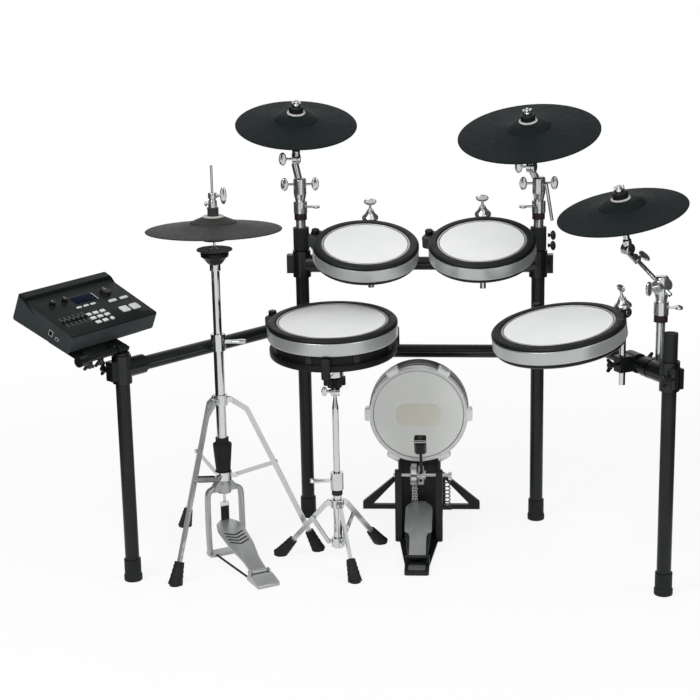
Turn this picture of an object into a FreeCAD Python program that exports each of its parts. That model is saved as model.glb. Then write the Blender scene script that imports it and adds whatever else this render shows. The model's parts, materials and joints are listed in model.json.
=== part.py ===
import FreeCAD, Part
import math
import os

from FreeCAD import Vector

# Lengths are in millimetres. X runs to the player's right, Y away from the player, Z up.

# Fits and cuts
fit = 0.15
running_gap = 0.4
overrun = 3.0
same_point = 0.000001
shaft_gap = 0.05

# Rack posts, feet and rails
post_radius = 18.0
post_wall = 2.0
left_post_x = -757.0
left_post_y = -378.0
front_right_post_x = 580.0
front_right_post_y = -541.0
back_right_post_x = 323.0
back_right_post_y = 7.0
back_left_post_x = -313.0
back_left_post_y = 67.0
arm_height = 564.0
lower_bar_drop = 80.0
upper_bar_rise = 165.0
left_post_rise = 38.0
front_right_post_rise = 102.0
back_post_rise = 91.0
lower_bar_height = arm_height - lower_bar_drop
upper_bar_height = arm_height + upper_bar_rise
left_post_top = arm_height + left_post_rise
front_right_post_top = arm_height + front_right_post_rise
back_post_top = upper_bar_height + back_post_rise
groove_radius = 1.6
foot_radius = 23.5
foot_neck_radius = 21.5
foot_height = 58.0
foot_tread = 15.0
foot_floor = 8.0
foot_round = 2.5
cap_thickness = 4.0
cap_plug = 12.0

# Clamp castings that join rails and posts
clamp_radius = 24.5
clamp_height = 72.0
socket_radius = 24.5
socket_reach = 66.0
rail_start = 27.0
ear_reach = 40.0
ear_width = 26.0
ear_height = 50.0
slit_width = 3.0
sleeve_radius = 21.5
sleeve_length = 52.0
sleeve_lip = 8.0

# Wing bolts
wing_stem_radius = 3.5
wing_stem_length = 10.0
wing_hub_radius = 7.0
wing_hub_length = 16.0
wing_span = 42.0
wing_rise = 20.0
wing_tip = 9.0
wing_tip_round = 3.0
wing_thickness = 5.0
thumb_stem_length = 14.0
thumb_length = 34.0
thumb_width = 20.0

# Tom and floor tom holders
holder_ring_radius = 25.0
holder_ring_width = 44.0
holder_block_width = 30.0
holder_block_height = 40.0
tom_rod_radius = 8.0
tom_rod_drop = 54.0
barrel_radius = 13.0
barrel_width = 22.0
lug_thickness = 7.0
lug_gap = 7.5
lug_pin_radius = 4.0
tom_back_gap = 24.0
dome_sink = 2.0
dome_radius = 22.0
dome_skirt = 6.0
dome_waist_radius = 12.0
dome_waist = 13.0
dome_neck_radius = 9.0
dome_height = 24.0

# Tom pads
tom_radius = 137.5
tom_head_radius = 114.0
left_tom_x = -141.0
left_tom_y = -165.0
left_tom_rise = 100.0
left_tom_z = upper_bar_height + left_tom_rise
left_tom_lean_x_share = 0.015
left_tom_lean_y_share = -0.275
right_tom_x = 155.0
right_tom_y = -203.0
right_tom_rise = 109.0
right_tom_z = upper_bar_height + right_tom_rise
right_tom_lean_x_share = -0.056
right_tom_lean_y_share = -0.278
floor_tom_radius = 163.0
floor_tom_head_radius = 138.0
floor_tom_x = 315.0
floor_tom_y = -502.0
floor_tom_rise = 124.0
floor_tom_z = arm_height + floor_tom_rise
floor_tom_lean_x_share = -0.14
floor_tom_lean_y_share = -0.081
rim_height = 10.0
rim_round = 3.5
rim_lip = 3.0
head_seat = 5.0
head_thickness = 2.0
head_crown = 1.6
band_height = 33.0
band_wall = 3.0
casing_drop = 12.0
casing_inset = 4.0
casing_bevel = 5.0
knob_house_length = 26.0
knob_house_width = 48.0
knob_house_height = 32.0
knob_house_sink = 8.0
knob_house_azimuth_deg = 150.0
pad_knob_radius = 10.5
pad_knob_height = 12.0

# Cymbal pads and their tilters
stand_tube_sink = 180.0
stand_tube_rise = 48.0
stand_tube_bottom = back_post_top - stand_tube_sink
stand_tube_top = back_post_top + stand_tube_rise
crash_right_tube_sink = 16.0
crash_right_tube_rise = 130.0
boom_block_rise = 71.0
crash_right_tube_bottom = arm_height - crash_right_tube_sink
crash_right_tube_top = arm_height + crash_right_tube_rise
boom_block_height = crash_right_tube_top + boom_block_rise
crash_radius = 162.0
ride_radius = 188.5
crash_left_x = -318.0
crash_left_y = 44.0
crash_left_rise = 239.0
crash_left_z = stand_tube_top + crash_left_rise
crash_left_lean_x_share = 0.034
crash_left_lean_y_share = -0.274
ride_x = 294.0
ride_y = -15.0
ride_rise = 213.0
ride_z = stand_tube_top + ride_rise
ride_lean_x_share = -0.111
ride_lean_y_share = -0.268
crash_right_x = 485.0
crash_right_y = -380.0
crash_right_rise = 169.0
crash_right_z = boom_block_height + crash_right_rise
crash_right_lean_x_share = -0.183
crash_right_lean_y_share = -0.14
cymbal_thickness = 6.5
cymbal_rise = 15.0
cymbal_edge = 3.0
bell_radius = 57.0
bell_rise = 13.0
bell_round = 12.0
bell_top_radius = 30.0
cymbal_hole_radius = 5.6
cymbal_rod_radius = 5.0
cymbal_rod_length = 96.0
cymbal_seat_radius = 15.0
cymbal_seat_height = 12.0
stopper_radius = 19.0
stopper_height = 20.0
stopper_skirt_radius = 25.0
stopper_skirt_height = 5.0
top_nut_radius = 9.0
top_nut_height = 13.0
stand_tube_radius = 13.5
stand_tube_wall = 1.6
ring_radius = 17.0
ring_height = 18.0
stand_clamp_radius = 18.5
stand_clamp_height = 32.0
stem_radius = 9.0
stem_depth = 60.0
casting_neck_radius = 13.0
casting_radius = 17.5
casting_neck_height = 20.0
casting_height = 64.0
casting_round = 7.0
casting_pivot_rise = 46.0
casting_boss = 5.0
upper_stem_radius = 10.0
tail_radius = 4.5
tail_offset = 18.0
tail_slant = 16.0
tail_length = 98.0
tilter_radius = 15.0
tilter_thickness = 12.0
crash_right_tube_x = 572.0
crash_right_tube_y = -450.0
crash_right_tube_radius = 11.0
boom_radius = 5.5
boom_sleeve_radius = 10.0
boom_sleeve_length = 46.0
boom_tail = 34.0

# Trigger module and its holder
module_x = -838.0
module_y = -330.0
module_rise = 117.0
module_z = left_post_top + module_rise
module_yaw_deg = 53.0
module_tilt_deg = 23.0
module_width = 300.0
module_depth = 200.0
module_front_height = 50.0
module_back_height = 66.0
module_corner = 8.0
module_edge = 4.0
module_wall = 7.0
panel_corner = 5.0
panel_ledge = 5.0
hollow_depth = 22.0
panel_thickness = 3.0
hump_depth = 28.0
hump_rise = 9.0
hump_run = 5.0
screen_width = module_width * 0.24667
screen_depth = module_depth * 0.15
screen_thickness = 1.6
screen_x = module_width * 0.02
screen_y = module_depth * 0.125
key_height = 5.0
key_round = 1.5
long_key_width = module_width * 0.08667
long_key_depth = module_depth * 0.045
long_key_y = module_depth * -0.055
pad_key_width = module_width * 0.1
pad_key_depth = module_depth * 0.09
pad_key_y = module_depth * -0.27
right_keys_x = module_width * 0.24667
right_keys_pitch = module_width * 0.13333
small_key_width = module_width * 0.05333
small_key_depth = module_depth * 0.05
small_keys_x = module_width * -0.12
small_keys_pitch = module_width * 0.08
small_keys_y = module_depth * -0.19
small_keys_row = module_depth * 0.085
soft_key_width = module_width * 0.05333
soft_key_depth = module_depth * 0.03
soft_keys_y = module_depth * -0.015
cursor_key_y = module_depth * -0.37
fader_width = module_width * 0.02333
fader_depth = module_depth * 0.06
fader_height = 8.0
fader_x = module_width * -0.41333
fader_pitch = module_width * 0.05
fader_y = module_depth * -0.21
fader_slot_width = 3.0
fader_slot_length = module_depth * 0.21
knob_radius = 9.0
knob_height = 12.0
knob_x = module_width * -0.32
knob_pitch = module_width * 0.14
knob_y = module_depth * 0.16
dial_radius = 18.0
dial_height = 11.0
dial_x = module_width * 0.28
dial_y = module_depth * 0.13
shaft_radius = 3.0
knob_taper_share = 0.88
right_key_count = 2
small_key_count = 3
small_row_count = 2
fader_count = 6
cradle_width = module_width * 0.85
cradle_depth = module_depth * 0.65
cradle_shift = 20.0
cradle_thickness = 4.0
cradle_round = 10.0
spacer_radius = 6.0
spacer_height = 5.0
cradle_ear_thickness = 6.0
holder_head_radius = 11.0
holder_head_width = 30.0
holder_rise = 13.0
holder_neck_radius = 9.0
cradle_ear_width = 60.0
cradle_ear_nose = 8.5
cradle_ear_round = 8.0
mount_tube_radius = 9.0
mount_tube_length = 126.0
mount_boss_radius = 14.0
mount_boss_length = 24.0
mount_arm_width = 28.0
mount_bolt_place = 84.0
mount_bolt_pitch = 38.0

# Hi-hat stand
hihat_x = -528.0
hihat_y = -204.0
hihat_base_radius = 13.4
hihat_upper_radius = 11.0
hihat_base_bottom = 206.0
hihat_base_top = 576.0
hihat_upper_bottom = 330.0
hihat_upper_top = 790.0
hihat_rod_radius = 3.2
hihat_clamp_radius = 19.0
hihat_clamp_height = 44.0
lever_length = 46.0
lever_width = 14.0
lever_thickness = 6.0
hihat_seat_collar = 20.0
hihat_seat_sink = 18.0
hihat_seat_height = 52.0
hihat_seat_bottom = hihat_upper_top - hihat_seat_sink
hihat_seat_top = hihat_seat_bottom + hihat_seat_height
hihat_seat_radius = 46.0
hihat_seat_waist = 20.0
hihat_seat_wall = 4.0
hihat_pad_radius = 175.0
hihat_pad_lift = 50.0
hihat_pad_z = hihat_seat_top + hihat_pad_lift
hihat_pad_rise = 16.0
hihat_hub_radius = 40.0
hihat_hub_lift = 11.0
hihat_hub_bottom = hihat_seat_top + hihat_hub_lift
hihat_clutch_lift = 33.0
hihat_clutch_bottom = hihat_pad_z + hihat_clutch_lift
hihat_rod_reach = 137.0
hihat_rod_top = hihat_clutch_bottom + hihat_rod_reach
hihat_clutch_foot = 24.0
hihat_clutch_foot_radius = 14.0
hihat_clutch_nut = 22.0
hihat_clutch_nut_radius = 10.0
hihat_clutch_top = 20.0
hihat_clutch_top_radius = 11.0
hihat_boot_bottom = 231.0
hihat_boot_waist = 307.0
hihat_boot_top = 324.0
hihat_boot_foot = 19.0
hihat_boot_radius = 25.0
hihat_boot_rim = 5.0
hihat_boot_neck = 17.5
hihat_low_collar_bottom = 208.5
hihat_low_collar_radius = 22.0
hihat_hub_height = 37.0
hihat_frame_top = 208.0
hihat_frame_half = 47.0
hihat_frame_bar = 12.0
hihat_frame_depth = 20.0
hihat_frame_foot = 8.0
hihat_hub_depth = 40.0
hihat_shoulder = 26.0
hihat_pedal_deg = 26.7
hihat_toe_width = 40.0
hihat_board_width = 74.0
hihat_neck_width = 44.0
hihat_heel_distance = 214.0
hihat_heel_end = 276.0
hihat_heel_height = 22.0
hihat_toe_distance = 6.0
hihat_toe_height = 92.0
board_thickness = 7.0
board_round = 8.0
board_broad_share = 0.45
board_shoulder_share = 0.8
board_groove_count = 4
board_groove_rise = 12.0
board_groove_share = 0.8
board_groove = 1.2
heel_thickness = 10.0
heel_width = 58.0
hinge_radius = 6.0
hinge_pin_radius = 3.0
strap_width = 22.0
strap_thickness = 5.0
strap_lift = 3.0
shackle_height = 40.0
radius_rod = 3.0
slider_collar_radius = 19.0
ear_plate = 4.0

# Tripod legs of the hi-hat stand, as radius and height from its axis
hihat_collar_height = 428.0
hihat_collar_length = 27.0
hihat_leg_pivot_radius = 27.0
hihat_leg_knee_radius = 68.0
hihat_leg_knee_height = 400.0
hihat_joint_radius = 138.0
hihat_joint_height = 250.0
hihat_foot_radius = 247.0
hihat_strut_pivot_radius = 33.0
hihat_strut_pivot_height = 219.0
hihat_first_leg_deg = 1.6
leg_bar_width = 13.0
leg_bar_thickness = 8.0
strut_width = 11.0
strut_thickness = 4.0
leg_pin_radius = 3.0
leg_tip_radius = 10.5
leg_tip_length = 46.0
leg_tip_base_radius = 15.0
leg_tip_base = 12.0
leg_count = 3

# Snare pad and its stand
snare_radius = 166.0
snare_head_radius = 142.0
snare_x = -228.0
snare_y = -267.0
snare_head_rise = 92.0
snare_head_z = arm_height + snare_head_rise
snare_lean_x_share = -0.013
snare_lean_y_share = -0.072
snare_recess = 12.0
snare_depth = 42.0
snare_lip = 9.0
snare_lip_height = 16.0
snare_base_radius = 11.2
snare_base_bottom = 34.0
snare_base_top = 212.0
snare_upper_radius = 8.6
snare_upper_bottom = 72.0
snare_clamp_height = 46.0
snare_clamp_radius = 17.0
snare_tilter_drop = 194.0
snare_tilter_height = snare_head_z - snare_tilter_drop
snare_tilter_radius = 13.0
snare_star_rise = 18.0
snare_star_bottom = snare_tilter_height + snare_star_rise
snare_star_radius = 28.0
snare_star_height = 22.0
snare_star_count = 6
star_core_share = 0.72
star_lobe_share = 0.3
snare_hub_rise = 44.0
snare_hub_bottom = snare_tilter_height + snare_hub_rise
snare_hub_height = 16.0
snare_hub_radius = 24.0
snare_arm_radius = 5.0
snare_tip_radius = 11.5
snare_tip_height = 38.0
snare_arm_count = 3
snare_arm_first_deg = -96.0
snare_collar_height = 157.0
snare_collar_length = 22.0
snare_leg_pivot_radius = 25.0
snare_leg_knee_radius = 34.0
snare_leg_knee_height = 150.0
snare_joint_radius = 66.0
snare_joint_height = 112.0
snare_foot_radius = 163.0
snare_strut_pivot_radius = 25.0
snare_strut_pivot_height = 50.0
snare_low_collar_length = 25.0
snare_low_collar_radius = 17.0
snare_first_leg_deg = 45.0

# Kick tower, pad and pedal, in the kick's own turned frame
kick_yaw_deg = -4.0
kick_head_y = -95.0
kick_head_z = 341.0
kick_head_radius = 126.0
kick_hoop_radius = 133.0
kick_hoop_depth = 24.0
kick_hoop_lip = 3.0
kick_shell_depth = 60.0
kick_shell_wall = 5.0
kick_shell_radius = 129.0
kick_lug_count = 6
kick_lug_first_deg = 30.0
kick_lug_length = 26.0
kick_lug_width = 36.0
kick_lug_rise = 11.0
kick_lug_corner = 3.0
kick_vent_width = 110.0
kick_vent_depth = 14.0
tower_width = 116.0
tower_top = 300.0
tower_front = -66.0
tower_depth = 74.0
tower_wall = 8.0
tower_round = 10.0
base_width = 124.0
base_back = 124.0
base_thickness = 9.0
base_round = 10.0
wing_reach = 166.0
wing_y = 108.0
wing_plate = 12.0
wing_top = 116.0
wing_tip_height = 22.0
wing_rib = 14.0
pedal_y = -126.0
pedal_axle_z = 181.0
pedal_axle_radius = 5.0
pedal_half = 55.0
pedal_upright = 18.0
pedal_upright_depth = 24.0
pedal_upright_top = 196.0
pedal_bar_thickness = 7.0
pedal_bar_depth = 56.0
pedal_heel_y = -320.0
pedal_heel_end = -393.0
pedal_heel_z = 22.0
pedal_heel_width = 64.0
pedal_toe_y = -90.0
pedal_toe_z = 92.0
pedal_board_width = 72.0
pedal_neck_width = 50.0
pedal_toe_width = 40.0
pedal_plate_thickness = 4.0
cam_radius = 34.0
cam_width = 14.0
cam_x = -12.0
chain_width = 8.0
chain_plate = 1.4
chain_roller = 2.6
chain_count = 9
beater_length = 156.0
beater_lean_deg = 40.0
beater_rod_radius = 4.0
beater_width = 32.0
beater_height = 44.0
beater_depth = 34.0
beater_round = 9.0
beater_hub_radius = 13.0
beater_hub_width = 22.0
beater_x = 8.0
spring_radius = 8.0
spring_wire = 1.6
spring_turn_count = 7
spring_x = 80.0
spring_bottom = 96.0
spring_pin_radius = 3.0
spring_arm_radius = 16.0
spring_arm_width = 9.0


origin = Vector(0, 0, 0)
right = Vector(1, 0, 0)
back = Vector(0, 1, 0)
up = Vector(0, 0, 1)
left_post = Vector(left_post_x, left_post_y, 0)
front_right_post = Vector(front_right_post_x, front_right_post_y, 0)
back_right_post = Vector(back_right_post_x, back_right_post_y, 0)
back_left_post = Vector(back_left_post_x, back_left_post_y, 0)
hihat_axis = Vector(hihat_x, hihat_y, 0)
snare_axis = Vector(snare_x, snare_y, 0)


# General shapes

def unit(vector):
    return Vector(vector).normalize()


def polar(azimuth_deg, radius=1, height=0):
    angle = math.radians(azimuth_deg)
    return Vector(radius * math.cos(angle), radius * math.sin(angle), height)


def lean(x, y):
    # Unit normal of a pad that leans by x and y
    return Vector(x, y, math.sqrt(1 - x * x - y * y))


def axes(base, x_axis, z_axis):
    # Placement whose Z is z_axis and whose X lies as near x_axis as it can
    z = unit(z_axis)
    y = unit(z.cross(x_axis))
    x = y.cross(z)
    return FreeCAD.Placement(FreeCAD.Matrix(
        x.x, y.x, z.x, base.x,
        x.y, y.y, z.y, base.y,
        x.z, y.z, z.z, base.z,
        0, 0, 0, 1))


def put(shape, placement):
    placed = shape.copy()
    placed.Placement = placement.multiply(placed.Placement)
    return placed


def rod(start, end, radius):
    return Part.makeCylinder(radius, (end - start).Length, start, end - start)


def tube(start, end, radius, wall):
    along = unit(end - start) * overrun
    return rod(start, end, radius).cut(rod(start - along, end + along, radius - wall))


def outline(corners):
    # Closed wire in the XY plane; a third value rounds that corner
    count = len(corners)
    points = [Vector(corner[0], corner[1], 0) for corner in corners]
    bends = []
    for index, corner in enumerate(corners):
        here = points[index]
        if len(corner) == 2:
            bends.append((here, None, here))
            continue
        before = unit(points[index - 1] - here)
        after = unit(points[(index + 1) % count] - here)
        half = before.getAngle(after) / 2
        reach = corner[2] / math.tan(half)
        middle = here + unit(before + after) * (corner[2] / math.sin(half) - corner[2])
        bends.append((here + before * reach, middle, here + after * reach))
    edges = []
    for index, (start, middle, end) in enumerate(bends):
        if middle is not None:
            edges.append(Part.Arc(start, middle, end).toShape())
        following = bends[(index + 1) % count][0]
        if (following - end).Length > same_point:
            edges.append(Part.makeLine(end, following))
    return Part.Wire(edges)


def turned(corners, base=origin, axis=up):
    # Closed outline of radius and height, turned about an axis
    wire = outline(corners)
    wire.rotate(origin, right, 90)
    solid = Part.Face(wire).revolve(origin, up, 360)
    across = right if abs(unit(axis).x) < abs(unit(axis).z) else up
    return put(solid, axes(base, across, axis))


def plate(corners, thickness):
    return Part.Face(outline(corners)).extrude(up * thickness)


def slab(width, depth, height, corner=0):
    # Block centred on X and Y, standing on the XY plane
    x = width / 2
    y = depth / 2
    points = [(-x, -y), (x, -y), (x, y), (-x, y)]
    if corner:
        points = [point + (corner,) for point in points]
    return plate(points, height)


def fused(first, *rest):
    return first.multiFuse(list(rest)).removeSplitter()


def save(node, *solids):
    shape = solids[0] if len(solids) == 1 else Part.makeCompound(list(solids))
    shape.exportStep("parts/" + node + ".step")


def wing_bolt(base, axis, across):
    # Stem, hub and two wings, standing out of base along axis
    hub_end = wing_stem_length + wing_hub_length
    stem = rod(origin, up * hub_end, wing_stem_radius)
    hub = rod(up * wing_stem_length, up * hub_end, wing_hub_radius)
    half = wing_span / 2
    low = wing_stem_length + wing_hub_length / 4
    high = wing_stem_length + wing_rise
    wings = plate([
        (-half, high, wing_tip_round), (-half + wing_tip, high, wing_tip_round),
        (0, low + wing_hub_length / 2), (half - wing_tip, high, wing_tip_round),
        (half, high, wing_tip_round), (wing_hub_radius, low), (-wing_hub_radius, low)], wing_thickness)
    wings.translate(-up * wing_thickness / 2)
    wings.rotate(origin, right, 90)
    return put(fused(stem, hub, wings), axes(base, across, axis))


def thumb_bolt(base, axis, across):
    # Stem with an oval thumb plate that stands out of base along axis
    end = thumb_stem_length + thumb_width / 2
    stem = rod(origin, up * end, wing_stem_radius)
    rim = Part.Wire(Part.Ellipse(origin, thumb_length / 2, thumb_width / 2).toShape())
    oval = Part.Face(rim).extrude(up * wing_thickness)
    oval.translate(-up * wing_thickness / 2)
    oval.rotate(origin, right, 90)
    oval.translate(up * end)
    return put(fused(stem, oval), axes(base, across, axis))


# Rack

def rack_tops():
    return [
        (left_post, left_post_top), (front_right_post, front_right_post_top),
        (back_right_post, back_post_top), (back_left_post, back_post_top)]


def rack_links():
    # Each rail: its two posts and its height
    return [
        (left_post, back_left_post, arm_height), (front_right_post, back_right_post, arm_height),
        (back_left_post, back_right_post, lower_bar_height),
        (back_left_post, back_right_post, upper_bar_height)]


def post(base, top):
    return tube(base + up * foot_floor, base + up * top, post_radius, post_wall)


def rail(start_post, end_post, height):
    toward = unit(end_post - start_post)
    start = start_post + up * height + toward * rail_start
    end = end_post + up * height - toward * rail_start
    side = up.cross(toward)
    body = tube(start, end, post_radius, post_wall)
    for sign in (-1, 1):
        offset = side * sign * post_radius
        body = body.cut(rod(start + offset - toward * overrun, end + offset + toward * overrun,
                            groove_radius))
    return body


def foot(base):
    return turned([
        (0, 0), (foot_radius, 0, foot_round), (foot_radius, foot_tread),
        (foot_neck_radius, foot_tread + foot_round), (foot_neck_radius, foot_height),
        (post_radius + fit, foot_height), (post_radius + fit, foot_floor), (0, foot_floor)], base)


def post_cap(base, top):
    plug = post_radius - post_wall - fit
    return turned([
        (0, top - cap_plug), (plug, top - cap_plug), (plug, top), (post_radius, top),
        (post_radius, top + cap_thickness), (0, top + cap_thickness)], base)


def post_sleeve(base):
    # Collar on a back post's top that grips the cymbal tube
    low = back_post_top - sleeve_length
    return turned([
        (post_radius + fit, low), (sleeve_radius, low),
        (sleeve_radius, back_post_top + sleeve_lip),
        (stand_tube_radius + fit, back_post_top + sleeve_lip),
        (stand_tube_radius + fit, back_post_top + fit),
        (post_radius + fit, back_post_top + fit)], base)


def rail_clamp(base, toward, height):
    # Split casting round a post, with a socket for a rail's end
    centre = base + up * height
    half = up * clamp_height / 2
    body = rod(centre - half, centre + half, clamp_radius)
    socket = rod(centre, centre + toward * socket_reach, socket_radius)
    ears = put(slab(ear_height, ear_width, ear_reach), axes(centre, up, -toward))
    body = fused(body, socket, ears)
    reach = half + up * overrun
    body = body.cut(rod(centre - reach, centre + reach, post_radius + fit))
    body = body.cut(rod(centre + toward * rail_start, centre + toward * (socket_reach + overrun),
                        post_radius + fit))
    slit = put(slab(clamp_height + 2 * overrun, slit_width, ear_reach + overrun), axes(centre, up, -toward))
    return body.cut(slit)


def clamp_bolt(base, toward, height):
    side = up.cross(toward)
    seat = base + up * height - toward * (clamp_radius + ear_reach) / 2 + side * ear_width / 2
    return wing_bolt(seat, side, up)


def rack():
    links = rack_links()
    ends = [(a, unit(b - a), z) for a, b, z in links] + [(b, unit(a - b), z) for a, b, z in links]
    save("rack_posts", *[post(base, top) for base, top in rack_tops()])
    save("rack_rails", *[rail(*link) for link in links])
    return [rail_clamp(*end) for end in ends], [clamp_bolt(*end) for end in ends]


# Tom pads and their holders

def pad_places():
    # Each hung pad: its centre, its normal, its radii, and the way to its holder
    bar = unit(back_right_post - back_left_post)
    arm = unit(back_right_post - front_right_post)
    behind = up.cross(bar)
    outward = arm.cross(up)
    return {
        "tom_left": (Vector(left_tom_x, left_tom_y, left_tom_z),
                     lean(left_tom_lean_x_share, left_tom_lean_y_share),
                     tom_radius, tom_head_radius, behind),
        "tom_right": (Vector(right_tom_x, right_tom_y, right_tom_z),
                      lean(right_tom_lean_x_share, right_tom_lean_y_share),
                      tom_radius, tom_head_radius, behind),
        "floor_tom": (Vector(floor_tom_x, floor_tom_y, floor_tom_z),
                      lean(floor_tom_lean_x_share, floor_tom_lean_y_share),
                      floor_tom_radius, floor_tom_head_radius, outward)}


def pad_hinge(name):
    # Middle of the barrel that a hung pad tilts on, and the hinge's axis
    centre, normal, radius, _, toward = pad_places()[name]
    axis = toward.cross(up)
    out = unit(normal.cross(axis))
    out = out if out.dot(toward) > 0 else -out
    middle = (rim_height + band_height) / 2
    return centre - normal * middle + out * (radius + tom_back_gap), axis, out


def pad_rim(radius, head):
    return turned([
        (head, -rim_lip), (head + head_seat + fit, -rim_lip), (head + head_seat + fit, -rim_height),
        (radius, -rim_height), (radius, -rim_round), (radius - rim_round, 0),
        (head + rim_lip, 0)])


def pad_band(radius):
    low = rim_height + band_height
    return turned([
        (radius - band_wall, -low), (radius, -low), (radius, -rim_height - fit),
        (radius - band_wall, -rim_height - fit)])


def pad_head(head):
    top = -rim_lip - fit
    return turned([
        (0, top - head_thickness), (head + head_seat, top - head_thickness), (head + head_seat, top),
        (head, top), (0, top + head_crown)])


def pad_casing(radius, head):
    # Foam-filled cup that carries the head on its bearing edge and the band on its side
    top = -rim_lip - head_thickness - 2 * fit
    wall = radius - band_wall - fit
    low = rim_height + band_height
    step = -rim_height - fit
    return turned([
        (0, -low - casing_drop), (radius - casing_inset - casing_bevel, -low - casing_drop),
        (radius - casing_inset, casing_bevel - low - casing_drop), (radius - casing_inset, -low - fit),
        (wall, -low - fit), (wall, step), (head + head_seat, step), (head + head_seat, top), (0, top)])


def knob_house(radius, drop):
    # Housing at a pad's left edge, with its sensitivity knob
    house = slab(knob_house_length + knob_house_sink, knob_house_width, knob_house_height,
                 knob_house_sink / 2)
    inner = radius - casing_inset
    house.translate(Vector(inner + (knob_house_length + knob_house_sink) / 2 - knob_house_sink, 0, -drop))
    house = house.cut(rod(-up * (drop + overrun), up * overrun, radius + fit))
    knob = rod(origin, up * pad_knob_height, pad_knob_radius)
    knob.translate(Vector(radius + knob_house_length / 2, 0, knob_house_height - drop))
    both = [house, knob]
    for solid in both:
        solid.rotate(origin, up, knob_house_azimuth_deg)
    return both


def pad_lugs(name):
    # Ears on the pad's edge that take the barrel between them, their pin, and the domed bracket above
    hinge, axis, out = pad_hinge(name)
    centre, normal, radius = pad_places()[name][:3]
    inside = -(tom_back_gap + band_wall)
    half = barrel_width / 2 + running_gap
    ear = plate([
        (inside, -barrel_radius), (0, -barrel_radius, lug_gap), (barrel_radius, 0, lug_gap),
        (0, barrel_radius, lug_gap), (inside, barrel_radius)], lug_thickness)
    pin_length = barrel_width + 2 * (running_gap + lug_thickness)
    solids = []
    for offset in (half, -half - lug_thickness):
        solids.append(put(ear, axes(hinge + axis * offset, out, axis)))
    pin = rod(hinge - axis * pin_length / 2, hinge + axis * pin_length / 2, lug_pin_radius)
    keep_out = put(rod(-up * (rim_height + band_height + casing_drop), up * dome_height, radius + fit),
                   axes(centre, right, normal))
    low = barrel_radius - dome_sink
    top = barrel_radius + dome_height
    dome = put(turned([
        (0, low), (dome_radius, low), (dome_radius, low + dome_skirt),
        (dome_waist_radius, barrel_radius + dome_waist), (dome_neck_radius, top), (0, top)]),
        axes(hinge, right, normal))
    half_pin = axis * pin_length
    dome = dome.cut(rod(hinge - half_pin, hinge + half_pin, barrel_radius + running_gap))
    bolt = thumb_bolt(hinge + normal * top, normal, axis)
    return [fused(solids[0], solids[1], pin, dome).cut(keep_out), bolt]


def hung_pad(name):
    centre, normal, radius, head = pad_places()[name][:4]
    place = axes(centre, right, normal)
    pieces = [pad_casing(radius, head), pad_band(radius), pad_rim(radius, head)]
    pieces += knob_house(radius, rim_height + band_height)
    save(name + "_shell", *[put(piece, place) for piece in pieces], *pad_lugs(name))
    save(name + "_head", put(pad_head(head), place))


def pad_holder(name, link):
    # Rod that carries a hung pad, and the split block that holds it to a rail
    hinge, axis = pad_hinge(name)[:2]
    start_post, end_post, height = link
    toward = unit(end_post - start_post)
    foot_point = Vector(hinge.x, hinge.y, height)
    reach = toward * (foot_point - start_post - up * height).dot(toward)
    on_rail = start_post + up * height + reach
    side = unit(foot_point - on_rail)
    gap = (foot_point - on_rail).Length
    bottom = Vector(hinge.x, hinge.y, height - tom_rod_drop)
    barrel = rod(hinge - axis * barrel_width / 2, hinge + axis * barrel_width / 2, barrel_radius)
    stem = fused(rod(bottom, hinge, tom_rod_radius), barrel)
    stem = stem.cut(rod(hinge - axis * barrel_width, hinge + axis * barrel_width, lug_pin_radius + fit))
    half = toward * holder_ring_width / 2
    ring = rod(on_rail - half, on_rail + half, holder_ring_radius)
    block = put(slab(holder_block_height, holder_block_width, gap + holder_block_width / 2),
                axes(on_rail, up, side))
    body = fused(ring, block)
    body = body.cut(rod(on_rail - half * 2, on_rail + half * 2, post_radius + fit))
    body = body.cut(rod(foot_point - up * holder_block_height, foot_point + up * holder_block_height,
                        tom_rod_radius + fit))
    rail_bolt = wing_bolt(on_rail - side * holder_ring_radius, -side, up)
    rod_bolt = wing_bolt(foot_point + side * holder_block_width / 2, side, up)
    return stem, body, [rail_bolt, rod_bolt]


def toms():
    for name in pad_places():
        hung_pad(name)
    links = rack_links()
    holders = [
        pad_holder("tom_left", links[3]), pad_holder("tom_right", links[3]),
        pad_holder("floor_tom", links[1])]
    save("tom_rods", *[holder[0] for holder in holders])
    return [holder[1] for holder in holders], [bolt for holder in holders for bolt in holder[2]]


# Cymbal pads and stands

def cymbal_places():
    return {
        "crash_left": (Vector(crash_left_x, crash_left_y, crash_left_z),
                       lean(crash_left_lean_x_share, crash_left_lean_y_share), crash_radius),
        "ride": (Vector(ride_x, ride_y, ride_z), lean(ride_lean_x_share, ride_lean_y_share), ride_radius),
        "crash_right": (Vector(crash_right_x, crash_right_y, crash_right_z),
                        lean(crash_right_lean_x_share, crash_right_lean_y_share), crash_radius)}


def cymbal_pivot(name):
    # Tilter's pivot and its level axis
    centre, normal = cymbal_places()[name][:2]
    return centre - normal * cymbal_rod_length, unit(up.cross(normal))


def cymbal_disc(radius, rise):
    # Bowed disc with a bell; heights run from the rim's lower edge
    bell_foot = rise
    bell_top = rise + bell_rise
    under = cymbal_thickness
    return turned([
        (radius - cymbal_edge, 0), (radius, cymbal_edge / 2), (radius - cymbal_edge / 2, cymbal_edge),
        (bell_radius, bell_foot + under),
        (bell_top_radius, bell_top + under, bell_round), (cymbal_hole_radius, bell_top + under),
        (cymbal_hole_radius, bell_top), (bell_top_radius, bell_top, bell_round / 2),
        (bell_radius, bell_foot)])


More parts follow.
